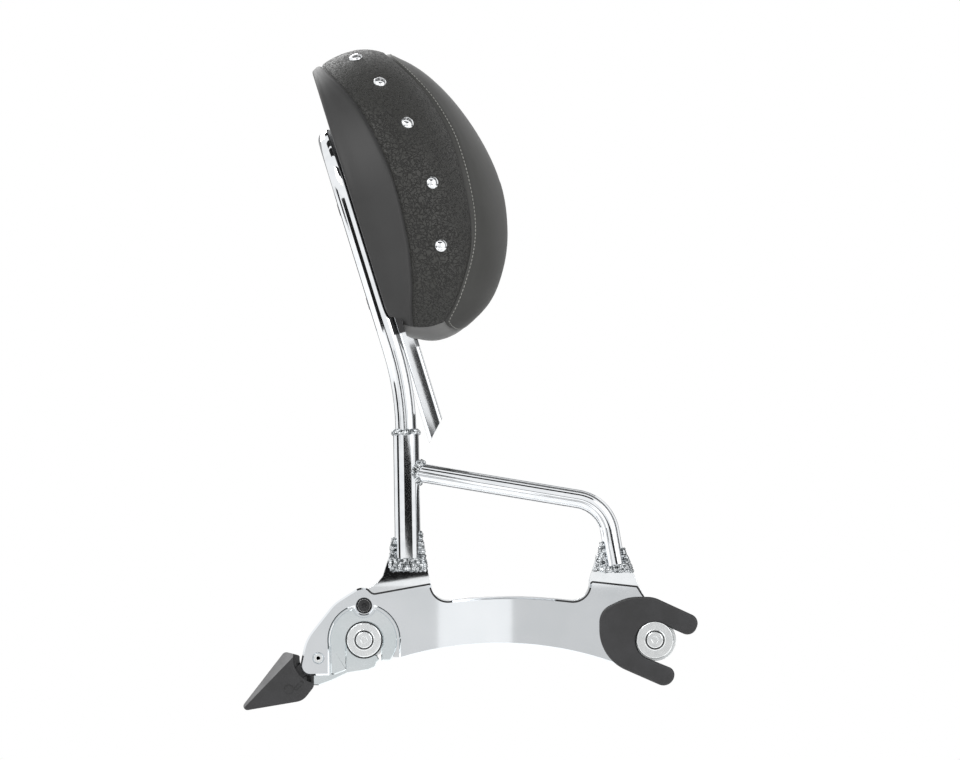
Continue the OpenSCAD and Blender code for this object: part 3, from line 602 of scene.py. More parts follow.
def bevel_lever(bm, sign):
    """Cuts the wide bevels, widest at the top and running out at the tip, and fills them with material 1,
    the lighter coat of the painted highlight.
    """
    along = (LEVER_TOP - LEVER_TIP).normalized()
    out = Vector((-along.z, 0, along.x))
    for way in (-1, 1):
        face_y = Vector((0, sign * (PLATE_MIDDLE + way * LEVER_HALF), 0))
        low = LEVER_TIP - out * 1.5 + face_y
        high = LEVER_TOP - out * 10 + face_y
        deep = LEVER_TOP + Vector((0, sign * (PLATE_MIDDLE + way * 3.0), 0))
        normal = (high - low).cross(deep - low).normalized()
        if normal.dot(out) < 0:
            normal.negate()
        parts = bm.verts[:] + bm.edges[:] + bm.faces[:]
        cutting = bmesh.ops.bisect_plane(
            bm, geom=parts, plane_co=low * MM, plane_no=normal, clear_outer=True
        )
        rim = [e for e in cutting["geom_cut"] if isinstance(e, bmesh.types.BMEdge)]
        for face in bmesh.ops.edgenet_fill(bm, edges=rim)["faces"]:
            # Material 1, the lighter coat, is the painted highlight
            face.material_index = 1
    bmesh.ops.recalc_face_normals(bm, faces=bm.faces)


def lever_mesh(name, node, sign):
    """The CAD's lever, with a wide bevel of painted highlight along its upper rear edge on both faces."""
    bm = cad_copy(node)
    bevel_lever(bm, sign)

    def off_pivot(edge):
        return min(abs(v.co.z - PIVOT_Z * MM) + abs(v.co.x - PIVOT_X * MM) for v in edge.verts) > 30 * MM

    corners = [
        e for e in bm.edges
        if len(e.link_faces) == 2 and e.calc_face_angle() > math.radians(20) and off_pivot(e)
    ]
    bmesh.ops.bevel(
        bm, geom=corners, offset=1.2 * MM, offset_type="OFFSET", segments=3, profile=0.5, affect="EDGES",
        material=0, clamp_overlap=True,
    )
    mesh = mesh_of(name, bm)
    mesh.materials.append(DARK_COAT)
    mesh.materials.append(LEVER_FACET_HIGHLIGHT)
    round_mark = []
    for t in around(24):
        x = ROUND_MARK_X + ROUND_MARK_R * math.cos(t)
        round_mark.append(Vector((x, ROUND_MARK_Z + ROUND_MARK_R * math.sin(t))))
    outer_face = PLATE_MIDDLE + LEVER_HALF
    cutters = []
    for line in (round_mark, rounded(SLOT_MARK)):
        # 0.9 mm deep, and out past the face
        mark = moulded_plate("mark", line, sign * (outer_face - 0.9), sign * (outer_face + 1.5), 0.2, 1)
        mark.materials.append(BOARD_PLASTIC)
        cutters.append(put("mark", mark))
    return cut(mesh, cutters)


# Pieces with two materials: the latch arm's two finishes, the side plate's finish and painted reflection


def paint_dark_chamfer(mesh):
    """Side plate's chamfer: painted dark reflection along the top of both ends and into the dip between."""
    mesh.materials.clear()
    mesh.materials.append(SATIN_PLATE)
    mesh.materials.append(BLACK_OXIDE_AND_PAINTED_REFLECTION)
    for face in mesh.polygons:
        x, across = face.center.x / MM, abs(face.normal.y)
        chamfer = 0.5 < across < 0.85 and face.normal.z > 0.1
        # These chamfer faces get the painted dark reflection
        if chamfer and (1 < x < 92 or 196 < x < 285):
            face.material_index = 1


# Where the latch arm enters the lever
HEEL_X = -50


def coat_heel(mesh):
    """Gives the latch arm its two finishes: plated, and coated like the lever where it enters that."""
    mesh.materials.clear()
    mesh.materials.append(ZINC_PLATE)
    mesh.materials.append(DARK_COAT)
    bm = bmesh.new()
    bm.from_mesh(mesh)
    parts = bm.verts[:] + bm.edges[:] + bm.faces[:]
    heel = Vector((HEEL_X, 0, 0)) * MM
    bmesh.ops.bisect_plane(bm, geom=parts, plane_co=heel, plane_no=Vector((1, 0, 0)))
    for face in bm.faces:
        if face.calc_center_median().x < HEEL_X * MM:
            face.material_index = 1
    bm.to_mesh(mesh)
    bm.free()


# Rigid pieces

CROSS_TUBES = ["upper_cross_tube", "lower_cross_tube", "pad_rail"]
# On each side: [node, material, slot, body, corner in mm, its segments, planes it is in]. The fork and the
# lever have meshes of their own, and a piece without a material here has two materials, one of them painted
# light on the side plate and on the lever.
SIDE_PIECES = [
    ["inner_plate", PLATE_CHROME, "chromed_plate", FIXED, 0.5, 2, (PLATE_BACK, PLATE_MIDDLE)],
    ["side_plate", None, "satin_plate", FIXED, 1.8, 1, (PLATE_FRONT,)],
    ["fork", DARK_COAT, "dark_coated_metal", FIXED],
    ["latch_hook", ZINC_PLATE, "plated_steel", FIXED, 1.0, 1, (HOOK_FRONT,)],
    ["hook_pin", BLACK_OXIDE_AND_PAINTED_REFLECTION, "black_oxide_steel", FIXED, 0.5, 3],
    ["plate_screws", BLACK_OXIDE_AND_PAINTED_REFLECTION, "black_oxide_steel", FIXED, 0.4, 2],
    ["lever_screw", REAR_TURNED, "bright_fastener", FIXED, 0.3, 2],
    ["lever_nut", ZINC_PLATE, "bright_fastener", FIXED, 0.4, 2],
    ["rear_roller", REAR_TURNED, "bright_fastener", FIXED, 0.5, 2],
    ["rear_washer", REAR_TURNED, "bright_fastener", FIXED, 0.35, 3],
    ["rear_bolt", REAR_TURNED, "bright_fastener", FIXED, 0.4, 3],
    ["front_roller", FRONT_TURNED, "bright_fastener", FIXED, 0.5, 2],
    ["front_washer", FRONT_TURNED, "bright_fastener", FIXED, 0.35, 3],
    ["front_bolt", FRONT_TURNED, "bright_fastener", FIXED, 0.4, 3],
    ["latch_arm", None, "plated_steel", "latch", 0.7, 1, (PLATE_BACK + SIDE_PLAY, PLATE_MIDDLE - SIDE_PLAY)],
    ["lever", None, "dark_coated_metal", "latch"],
]


def side_mesh(piece, node, sign, corner):
    name = f"{node}_finished"
    if piece == "fork":
        return fork_mesh(name, sign)
    if piece == "lever":
        return lever_mesh(name, node, sign)
    mesh = eased(node, name, *corner)
    if piece == "latch_arm":
        coat_heel(mesh)
    if piece == "side_plate":
        paint_dark_chamfer(mesh)
    return mesh


def dress_rigid_pieces():
    for node in CROSS_TUBES:
        mesh = eased(node, node, 0.3, 2)
        shown(f"{node}_finished", mesh, TUBE_CHROME, FIXED, [node], flats=True)
    shown("board", eased("pad_board", "board", 0.8, 2), BOARD_PLASTIC, FIXED, ["pad_board"])
    bolts = eased("pad_bolts", "board_bolts", 0.4, 2)
    shown("board_bolts", bolts, BLACK_OXIDE_AND_PAINTED_REFLECTION, FIXED, ["pad_bolts"])
    for side, sign in SIDES.items():
        for piece, material, slot, body, *corner in SIDE_PIECES:
            node = f"{side}_{piece}"
            carrier = f"{side}_latch" if body == "latch" else body
            mesh = side_mesh(piece, node, sign, corner)
            shown(f"{node}_finished", mesh, material, carrier, [node], flats=True)


# Repeats made by Geometry Nodes: weld ripples, stitches and studs


def new_tree(name, sizes, seed=None):
    """A tree with its sizes, in metres, as named inputs. Returns it and the sockets of its inputs."""
    tree = bpy.data.node_groups.new(name, "GeometryNodeTree")
    ports = tree.interface
    ports.new_socket("Geometry", in_out="INPUT", socket_type="NodeSocketGeometry")
    for label, value in sizes.items():
        ports.new_socket(label, in_out="INPUT", socket_type="NodeSocketFloat").default_value = value
    if seed is not None:
        ports.new_socket("Seed", in_out="INPUT", socket_type="NodeSocketInt").default_value = seed
    ports.new_socket("Geometry", in_out="OUTPUT", socket_type="NodeSocketGeometry")
    return tree, add(tree, "NodeGroupInput").outputs


def end_tree(tree, repeats, material):
    """Makes the repeats plain geometry of that material, as the tree's result."""
    real = add(tree, "GeometryNodeRealizeInstances", {"Geometry": repeats.outputs["Instances"]})
    coloured = {"Geometry": real.outputs["Geometry"], "Material": material}
    finish = add(tree, "GeometryNodeSetMaterial", coloured)
    add(tree, "NodeGroupOutput", {"Geometry": finish.outputs["Geometry"]})


def along_lines(name, material, pitch, length, width, spread, seed):
    """Tree that strings small rounded grains along every line of a mesh."""
    sizes = {"Pitch": pitch, "Length": length, "Width": width, "Spread": spread}
    tree, given = new_tree(name, sizes, seed)
    curve = add(tree, "GeometryNodeMeshToCurve", {"Mesh": given["Geometry"]})
    steps = {"Curve": curve.outputs["Curve"], "Length": given["Pitch"]}
    spaced = add(tree, "GeometryNodeResampleCurve", steps, mode="LENGTH")
    tangent = add(tree, "GeometryNodeInputTangent")
    turn = add(tree, "FunctionNodeAlignRotationToVector", {"Vector": tangent.outputs["Tangent"]}, axis="X")
    low = add(tree, "ShaderNodeMath", {0: 1.0, 1: given["Spread"]}, operation="SUBTRACT")
    high = add(tree, "ShaderNodeMath", {0: 1.0, 1: given["Spread"]}, operation="ADD")
    limits = {"Min": low.outputs[0], "Max": high.outputs[0], "Seed": given["Seed"]}
    chance = add(tree, "FunctionNodeRandomValue", limits, data_type="FLOAT")
    grain = add(tree, "GeometryNodeMeshUVSphere", {"Segments": 10, "Rings": 6, "Radius": 1.0})
    size = add(tree, "ShaderNodeCombineXYZ", {"X": given["Length"], "Y": given["Width"], "Z": given["Width"]})
    scaled = {0: size.outputs["Vector"], "Scale": chance.outputs["Value"]}
    sized = add(tree, "ShaderNodeVectorMath", scaled, operation="SCALE")
    places = {
        "Points": spaced.outputs["Curve"], "Instance": grain.outputs["Mesh"],
        "Rotation": turn.outputs["Rotation"], "Scale": sized.outputs["Vector"],
    }
    end_tree(tree, add(tree, "GeometryNodeInstanceOnPoints", places), material)
    return tree


def grown(name, carrier, tree):
    """Plain mesh of the tree's result on a carrier mesh."""
    piece = put(name, carrier)
    piece.modifiers.new("repeats", "NODES").node_group = tree
    mesh = baked(piece)
    bpy.data.objects.remove(piece)
    mesh.name = name
    return mesh


def lines_mesh(lines):
    """Mesh of lines alone, each a list of points and True where it is closed."""
    bm = bmesh.new()
    for points, closed in lines:
        verts = [bm.verts.new(p) for p in points]
        for a, b in zip(verts, verts[1:] + (verts[:1] if closed else [])):
            bm.edges.new((a, b))
    return mesh_of("lines", bm)


# Welds

# On both faces of the tongues, beside the tubes: from (x, z) to (x, z)
TONGUE_WELDS = [
    (29.5, 73, 29.9, 101), (26.8, 73, 28.8, 97), (58.2, 73, 56.4, 108), (61.2, 73, 57.6, 97),
    (27, 70.5, 61, 70.5), (240.5, 73, 237.8, 97), (236.5, 72, 236.6, 92), (232.8, 72, 234.4, 84),
    (262.8, 73, 259.2, 91), (266.4, 72, 261.8, 84), (230, 70.5, 268.5, 69),
]
TONGUE_HALF = 3.4
# Beads round a tube: (height along it, how far out from its wall)
TOP_BEADS = [(0.8, -1.6), (-0.9, -0.6)]
FOOT_BEADS = [(0.2, 2.2), (3, 1.9), (6, 1.4), (8.6, 0.8)]
BRACE_FOOT_BEADS = [(0.0, 2.0), (2.4, 1.2)]
# Beads round the brace's mouth: (how far out from the brace, how far from the stanchion)
MOUTH_BEADS = [(1.8, 0.6), (0.9, 2.6)]
BEAD_POINTS = 48


def tube_beads(centre, axis, radius, beads):
    """Closed lines round a tube at each bead's height."""
    a = axis.orthogonal().normalized()
    b = axis.cross(a)
    return [[circle(centre + axis * up, a, b, radius + out, BEAD_POINTS), True] for up, out in beads]


def mouth_beads(start):
    """Closed lines where the brace meets the round stanchion."""
    across = Vector((0, 1, 0))
    upward = BRACE_RUN.cross(across)
    lines = []
    for out, past in MOUTH_BEADS:
        r = BRACE_R + out
        mouth = []
        for t in around(BEAD_POINTS):
            reach = math.sqrt(POST_R**2 - (r * math.sin(t)) ** 2) + past
            mouth.append((start + BRACE_RUN * reach + r * (upward * math.cos(t) + across * math.sin(t))) * MM)
        lines.append([mouth, True])
    return lines


def weld_lines():
    """Where the welder's torch went, as lines of points."""
    lines = []
    for y in (-TUBE_Y, TUBE_Y):
        foot = Vector((post_x(FOOT_Z), y, FOOT_Z))
        lines += tube_beads(foot + POST_UP * (POST_TOP - FOOT_Z), POST_UP, POST_R, TOP_BEADS)
        lines += tube_beads(foot, POST_UP, POST_R, FOOT_BEADS)
        lines += tube_beads(Vector((BRACE_FOOT_X, y, FOOT_Z)), BRACE_UP, BRACE_R, BRACE_FOOT_BEADS)
        lines += mouth_beads(Vector((post_x(BRACE_Z), y, BRACE_Z)))
        for x0, z0, x1, z1 in TONGUE_WELDS:
            count = max(2, round(math.hypot(x1 - x0, z1 - z0) / 3))
            for off in (-TONGUE_HALF, TONGUE_HALF):
                start, end = Vector((x0, y + off, z0)), Vector((x1, y + off, z1))
                lines.append([[start.lerp(end, k / count) * MM for k in range(count + 1)], False])
    return lines


def dress_welds():
    tree = along_lines("weld_ripples", WELD_CHROME, 2.1 * MM, 1.6 * MM, 2.3 * MM, 0.3, 7)
    beads = grown("weld_beads", lines_mesh(weld_lines()), tree)
    shown("weld_beads", beads, None, FIXED, sharp=180)


# Pad: a shell of rows, from the back rim to the crown, and columns, from the top centre to the bottom centre.
# Sizes are in mm in the bar's frame.

PAD_HALF = 140.0
PAD_TOP = 337.5
PAD_LOW = 37.0
PAD_BACK = 4.5
PAD_WIDEST = 48.5
PAD_DEPTH = 99.0
PAD_CROWN = 172.9
RIM_X = 8.5
# How far the back rim is drawn in, at the top and sides and at the bottom
TUCK, TUCK_LOW = 7, 28
# Radius of the lower corners as a share of the half width, and how much of that is lost at the back rim
LOWER_CORNER, CORNER_LOSS = 0.45, 0.27
# Length along the front's surface for one unit of its sine
FRONT_ARC = 120
CROWN_S = FRONT_ARC * math.pi / 2
# Columns on one half: over the arch, down the side, round the lower corner, along the bottom
ARCH, SIDE, CORNER, BOTTOM = 60, 28, 28, 20
UNDER_SEAM = ARCH + SIDE + round(CORNER * 50 / 90)
HALF = ARCH + SIDE + CORNER + BOTTOM
# The two seams in the side view: (height on the bar, depth)
SEAM_ONE = [
    (30, 22), (50, 24.5), (72.8, 29.8), (95.6, 36.9), (142.5, 46.5), (211.9, 50.1), (273.4, 41.5),
    (307.9, 29), (333.9, 15), (345, 12),
]
SEAM_TWO = [
    (30, 40), (48.5, 55.3), (69.9, 75.5), (104.9, 99.5), (135.4, 111.5), (179.9, 118.1), (223.9, 118.5),
    (253.9, 113.5), (277.9, 106.5), (307.5, 92), (332.4, 76.5), (345, 68),
]
# Rows of each panel, and how far from a seam the closest of them lie
SIDE_ROWS, BAND_ROWS, FRONT_ROWS = 12, 26, 40
NEAR_SEAM = (0.8, 1.7, 2.9, 4.5)
FIRST_SEAM = SIDE_ROWS
SECOND_SEAM = SIDE_ROWS + BAND_ROWS
# Depth and half width of the groove at a seam, and depth of the short seams underneath
GROOVE, GROOVE_WIDTH, UNDER_GROOVE = 1.5, 1.6, 1.2
# Shoulders where the side and front panels lie over their seams' allowances: width and height
SIDE_LAP, FRONT_LAP = (9, 0.7), (12, 0.6)
# Unevenness of the foam: height, and length from one bump to the next
FOAM_HEIGHT, FOAM_LENGTH = 0.35, 38
# Dimple round a stud: depth and radius
DIMPLE, DIMPLE_R = 1.3, 8
STUD_R, STUD_H = 7, 4.5
STUD_SPOTS = [(330.4, 51.1), (301.6, 66.4), (252.4, 81.3), (189.3, 85.9), (126.4, 76.9)]
# Round the rim and in to the recess: (depth, how far inside the outline)
RIM_PROFILE = [(PAD_BACK, 16.0), (PAD_BACK, 9.0), (PAD_BACK, 4.4), (4.7, 2.6), (5.4, 1.2), (6.7, 0.35)]
# The recess for the board, with a round top, and the slot for the rail
RECESS_HALF, RECESS_ARCH_Z, RECESS_X = 128, 199.1, 17.1
SLOT_HALF, SLOT_TOP, SLOT_X = 8.5, 216, 27
# Cloth: the scale at which its solver is steadier, its last frame, and where its swelling levels off
CLOTH_SCALE = 10
CLOTH_FRAMES = 20
SWELL_LIMIT = 5


def depth_of(s):
    """Depth in the bar frame of a place s mm along the surface from the widest line, forward."""
    return PAD_WIDEST + (s if s < 0 else PAD_DEPTH * math.sin(s / FRONT_ARC))


def pad_section(x):
    """Half width, top, bottom and lower corner of the pad at depth x."""
    if x < PAD_WIDEST:
        tuck = ((PAD_WIDEST - x) / (PAD_WIDEST - PAD_BACK)) ** 2
        half = PAD_HALF - TUCK * tuck
        corner = half * (LOWER_CORNER - CORNER_LOSS * tuck)
        return half, PAD_TOP - TUCK * tuck, PAD_LOW + TUCK_LOW * tuck, corner
    c = math.sqrt(max(0.0, 1 - ((x - PAD_WIDEST) / PAD_DEPTH) ** 2))
    top = PAD_CROWN + (PAD_TOP - PAD_CROWN) * c**1.32
    low = PAD_CROWN - (PAD_CROWN - PAD_LOW) * c**1.04
    return PAD_HALF * c, top, low, PAD_HALF * LOWER_CORNER * c


def outline_point(section, j):
    """Place of column j on a section: distance from the centre plane, and height."""
    half, top, low, corner = section
    arch = min(half, (top - low) / 2)
    if j <= ARCH:
        t = math.pi / 2 * j / ARCH
        return half * math.sin(t), top - arch + arch * math.cos(t)
    j -= ARCH
    if j <= SIDE:
        return half, top - arch + (low + corner - top + arch) * j / SIDE
    j -= SIDE
    if j <= CORNER:
        t = math.pi / 2 * j / CORNER
        return half - corner + corner * math.cos(t), low + corner - corner * math.sin(t)
    return (half - corner) * (1 - (j - CORNER) / BOTTOM), low


def smooth_value(knots, at):
    """Value of a smooth curve through (place, value) knots in rising order."""
    at = min(max(at, knots[0][0]), knots[-1][0])
    i = next(k for k in range(len(knots) - 1) if at <= knots[k + 1][0])
    (x0, y0), (x1, y1) = knots[i], knots[i + 1]

    def slope(k):
        a, b = knots[max(k - 1, 0)], knots[min(k + 1, len(knots) - 1)]
        return (b[1] - a[1]) / (b[0] - a[0])

    h = x1 - x0
    t = (at - x0) / h
    return (
        y0 * (1 + 2 * t) * (1 - t) ** 2 + h * slope(i) * t * (1 - t) ** 2
        + y1 * t * t * (3 - 2 * t) + h * slope(i + 1) * t * t * (t - 1)
    )


def seam_place(knots, j):
    """Where column j crosses a seam, in mm along the surface, found by halving."""
    low, high = RIM_X - PAD_WIDEST + 3, CROWN_S - 20
    for _ in range(40):
        s = (low + high) / 2
        x = depth_of(s)
        if x < smooth_value(knots, outline_point(pad_section(x), j)[1]):
            low = s
        else:
            high = s
    return s


def seam_columns():
    """Both seams' places at each column of one half; under the pad they bend forward."""
    ones, twos = [], []
    for j in range(HALF + 1):
        if j <= UNDER_SEAM:
            ones.append(seam_place(SEAM_ONE, j))
            twos.append(seam_place(SEAM_TWO, j))
        else:
            t = (j - UNDER_SEAM) / (HALF - UNDER_SEAM)
            ones.append(ones[UNDER_SEAM] + 4 * t)
            twos.append(twos[UNDER_SEAM] + 34 * min(1, 1.7 * t) ** 1.5)
    return ones, twos


def panel_rows(start, end, count, seam_first):
    """Places of a panel's rows, closer together beside its seams; the last one is the next panel's first."""
    # A panel narrower than 14 mm has them closer still
    room = min(1.0, (end - start) / 14)
    near = [k * room for k in NEAR_SEAM]
    first = [start] + ([start + k for k in near] if seam_first else [])
    last = [end - k for k in reversed(near)]
    inner = count - len(first) - len(last)
    a, b = first[-1], last[0]
    return first + [a + (b - a) * (k + 1) / (inner + 1) for k in range(inner)] + last


def half_column(c):
    """Column of one half, and its side, of a column of the whole pad."""
    return (c, -1) if c <= HALF else (2 * HALF - c, 1)


def pad_grid():
    """Rows of points of the cover's front and sides, and each point's distances from the seams along it."""
    ones, twos = seam_columns()
    columns = []
    for j in range(HALF + 1):
        one, two = ones[j], twos[j]
        places = panel_rows(RIM_X - PAD_WIDEST, one, SIDE_ROWS, False)
        places += panel_rows(one, two, BAND_ROWS, True)
        places += panel_rows(two, CROWN_S - 2, FRONT_ROWS, True)
        column = []
        for s in places:
            x = depth_of(s)
            y, z = outline_point(pad_section(x), j)
            column.append([x, y, z, (s - one, s - two)])
        columns.append(column)
    grid, seams = [], []
    for r in range(len(columns[0])):
        row, away = [], []
        for c in range(2 * HALF):
            j, sign = half_column(c)
            x, y, z, from_seams = columns[j][r]
            row.append(on_bar(x, sign * y, z))
            away.append(from_seams)
        grid.append(row)
        seams.append(away)
    return grid, seams


def rim_rows():
    half, top, low, corner = pad_section(RIM_X)
    rows = []
    for x, inset in RIM_PROFILE:
        row = []
        for c in range(2 * HALF):
            j, sign = half_column(c)
            y, z = outline_point((half - inset, top - inset, low + inset, corner), j)
            row.append(on_bar(x, sign * y, z))
        rows.append(row)
    return rows


def puff(grid, pinned):
    """How far each point of a coarse grid swells when the cover is blown up between its seams, in mm."""
    rows, columns = len(grid), len(grid[0])
    faces = []
    for r in range(rows - 1):
        for c in range(columns):
            d = (c + 1) % columns
            faces.append((r * columns + c, r * columns + d, (r + 1) * columns + d, (r + 1) * columns + c))
    cover = bpy.data.meshes.new("cover")
    cover.from_pydata([p * CLOTH_SCALE for row in grid for p in row], [], faces)
    piece = put("cover", cover)
    group = piece.vertex_groups.new(name="seams")
    held = [r * columns + c for r in range(rows) for c in range(columns) if pinned(r, c)]
    group.add(held, 1.0, "REPLACE")
    cloth = piece.modifiers.new("cloth", "CLOTH")
    cloth.settings.quality = 4
    cloth.settings.mass = 0.3
    cloth.settings.tension_stiffness = 12
    cloth.settings.compression_stiffness = 12
    cloth.settings.bending_stiffness = 2
    cloth.settings.vertex_group_mass = "seams"
    cloth.settings.use_pressure = True
    cloth.settings.uniform_pressure_force = 4
    cloth.settings.effector_weights.gravity = 0
    cloth.collision_settings.use_collision = False
    cloth.point_cache.frame_start = 1
    cloth.point_cache.frame_end = CLOTH_FRAMES
    for step in range(1, CLOTH_FRAMES + 1):
        bpy.context.scene.frame_set(step)
    swollen = piece.evaluated_get(bpy.context.evaluated_depsgraph_get()).data
    moved = []
    for before, after, normal in zip(cover.vertices, swollen.vertices, cover.vertex_normals):
        moved.append((after.co - before.co).dot(normal.vector) / CLOTH_SCALE / MM)
    bpy.data.objects.remove(piece)
    bpy.context.scene.frame_set(1)
    return [moved[r * columns : (r + 1) * columns] for r in range(rows)]


def swelling(grid):
    """The puff at every point of the fine grid, simulated on every other column and some of its rows."""
    last = len(grid) - 1
    kept = [0, 3, 6, *range(FIRST_SEAM, SECOND_SEAM, 3), SECOND_SEAM, *range(SECOND_SEAM + 4, last, 3), last]
    coarse = [[grid[r][c] for c in range(0, 2 * HALF, 2)] for r in kept]

    def pinned(k, c):
        r, j = kept[k], min(2 * c, 2 * HALF - 2 * c)
        return r in (0, FIRST_SEAM, SECOND_SEAM) or (j == UNDER_SEAM and r < SECOND_SEAM)

    moved = puff(coarse, pinned)
    fine = []
    for r in range(len(grid)):
        k = max(i for i in range(len(kept) - 1) if kept[i] <= r)
        f = (r - kept[k]) / (kept[k + 1] - kept[k])
        if kept[k] in (0, FIRST_SEAM, SECOND_SEAM) or kept[k + 1] in (FIRST_SEAM, SECOND_SEAM):
            f = f * f * (3 - 2 * f)
        row = []
        for c in range(2 * HALF):
            a, b = c // 2, ((c + 1) // 2) % HALF
            low = (moved[k][a] + moved[k][b]) / 2
            high = (moved[k + 1][a] + moved[k + 1][b]) / 2
            swell = max(-1.0, low + (high - low) * f)
            row.append(SWELL_LIMIT * math.tanh(swell / SWELL_LIMIT))
        fine.append(row)
    return fine


def stud_base(height, depth):
    """How far a stud is from the centre plane, on the pad's plain outline."""
    half, top, low, _ = pad_section(depth)
    arch = min(half, (top - low) / 2)
    up = height - (top - arch)
    return half * math.sqrt(1 - (up / arch) ** 2) if up > 0 else half


def panel_of(r, j):
    """Which panel a face is in, by its row of the skin and its column of one half."""
    if r >= SECOND_SEAM:
        return 2
    # Panel 3, under the pad, is paler as painted light
    if j >= UNDER_SEAM:
        return 3
    return 1 if r >= FIRST_SEAM else 0


def close_shell(bm, rim, skin):
    """Faces of the whole cover over its rows of points. Returns the crown's point."""
    rows = rim + skin
    count = 2 * HALF
    for r in range(len(rows) - 1):
        for c in range(count):
            d = (c + 1) % count
            face = bm.faces.new((rows[r][c], rows[r][d], rows[r + 1][d], rows[r + 1][c]))
            face.material_index = panel_of(r - len(rim), min(c, count - 1 - c))
    crown = bm.verts.new(on_bar(PAD_WIDEST + PAD_DEPTH, 0, PAD_CROWN))
    middle = bm.verts.new(on_bar(PAD_BACK, 0, PAD_CROWN))
    for c in range(count):
        d = (c + 1) % count
        bm.faces.new((rows[-1][c], rows[-1][d], crown)).material_index = 2
        bm.faces.new((rows[0][d], rows[0][c], middle))
    bmesh.ops.recalc_face_normals(bm, faces=bm.faces)
    bm.normal_update()
    return crown


def seam_relief(r, j, from_one, from_two):
    """How far the seams draw the cover in or lift it beside them, in mm."""
    out = -GROOVE * math.exp(-((from_two / GROOVE_WIDTH) ** 2))
    if j < UNDER_SEAM:
        out -= GROOVE * math.exp(-((from_one / GROOVE_WIDTH) ** 2))
    elif j == UNDER_SEAM and r < SECOND_SEAM:
        out -= UNDER_GROOVE
    width, height = SIDE_LAP
    if -width < from_one < 0 and j < UNDER_SEAM:
        out += height * math.sin(math.pi * -from_one / width)
    width, height = FRONT_LAP
    if 0 < from_two < width:
        out += height * math.sin(math.pi * from_two / width)
    return out


def sewn_cover():
    """The whole cover as a closed mesh, the points of its topstitch, and its studs' places and directions."""
    grid, seams = pad_grid()
    swell = swelling(grid)
    bm = bmesh.new()
    rim = [[bm.verts.new(p) for p in row] for row in rim_rows()]
    skin = [[bm.verts.new(p) for p in row] for row in grid]
    crown = close_shell(bm, rim, skin)
    normals = {v: v.normal.copy() for v in bm.verts}

    studs = []
    for height, depth in STUD_SPOTS:
        for sign in (-1, 1):
            place = on_bar(depth, sign * stud_base(height, depth), height)
            studs.append(min((v for row in skin for v in row), key=lambda v: (v.co - place).length_squared))
    seats = [(v.co.copy(), normals[v]) for v in studs]

    count = 2 * HALF
    for r, row in enumerate(skin):
        for c, v in enumerate(row):
            out = swell[r][c] + seam_relief(r, min(c, count - c), *seams[r][c])
            out += FOAM_HEIGHT * noise.noise(v.co / (FOAM_LENGTH * MM))
            near = min((v.co - place).length for place, _ in seats) / MM
            out -= DIMPLE * math.exp(-((near / DIMPLE_R) ** 2))
            v.co += normals[v] * out * MM
    crown.co += normals[crown] * (sum(swell[-1]) / count) * MM
    for v, (place, normal) in zip(studs, seats):
        place += normal * normal.dot(v.co - place)
    bm.normal_update()
    stitched = skin[SECOND_SEAM + len(NEAR_SEAM)]
    stitches = [(v.co + v.normal * 0.2 * MM).copy() for v in stitched]
    mesh = mesh_of("cover", bm)
    # The fourth material, under the pad, is painted light
    for material in (SIDE_COVER, GRAINED_COVER, FRONT_COVER, UNDERSIDE_PAINTED_LIGHT):
        mesh.materials.append(material)
    return mesh, stitches, seats


def prism(name, outline, start, end):
    """Solid between two depths of the bar's frame, over an outline of (y, z)."""
    bm = bmesh.new()
    ends = [[bm.verts.new(on_bar(x, y, z)) for y, z in outline] for x in (start, end)]
    bm.faces.new(ends[0])
    bm.faces.new(ends[1][::-1])
    for k in range(len(outline)):
        n = (k + 1) % len(outline)
        bm.faces.new((ends[0][n], ends[0][k], ends[1][k], ends[1][n]))
    bmesh.ops.recalc_face_normals(bm, faces=bm.faces)
    mesh = mesh_of(name, bm)
    mesh.materials.append(SIDE_COVER)
    return put(name, mesh)


def pad_cutters():
    """The recess and the slot as solids that run out past the pad's lower end."""
    below = -100
    arc = [math.pi * k / 48 for k in range(49)]
    recess = [(-RECESS_HALF, below)]
    recess += [(-RECESS_HALF * math.cos(t), RECESS_ARCH_Z + RECESS_HALF * math.sin(t)) for t in arc]
    recess += [(RECESS_HALF, below)]
    slot = [(-SLOT_HALF, below), (-SLOT_HALF, SLOT_TOP), (SLOT_HALF, SLOT_TOP), (SLOT_HALF, below)]
    return [prism("recess", recess, -20, RECESS_X), prism("rail_slot", slot, 0, SLOT_X)]


def domes(material):
    """Tree that sets one rounded dome on each point, facing the way that the point says."""
    tree, given = new_tree("studs", {"Radius": STUD_R * MM, "Height": STUD_H * MM})
    outward = add(tree, "GeometryNodeInputNamedAttribute", {"Name": "outward"}, data_type="FLOAT_VECTOR")
    turn = add(tree, "FunctionNodeAlignRotationToVector", {"Vector": outward.outputs[0]}, axis="Z")
    ball = add(tree, "GeometryNodeMeshUVSphere", {"Segments": 20, "Rings": 12, "Radius": 1.0})
    sizes = {"X": given["Radius"], "Y": given["Radius"], "Z": given["Height"]}
    size = add(tree, "ShaderNodeCombineXYZ", sizes)
    places = {
        "Points": given["Geometry"], "Instance": ball.outputs["Mesh"],
        "Rotation": turn.outputs["Rotation"], "Scale": size.outputs["Vector"],
    }
    end_tree(tree, add(tree, "GeometryNodeInstanceOnPoints", places), material)
    return tree


def seats_mesh(seats):
    """Mesh of the studs' places alone, each with the direction that its stud faces."""
    mesh = bpy.data.meshes.new("seats")
    mesh.from_pydata([place for place, _ in seats], [], [])
    outward = mesh.attributes.new("outward", "FLOAT_VECTOR", "POINT")
    for k, (_, normal) in enumerate(seats):
        outward.data[k].vector = normal
    return mesh


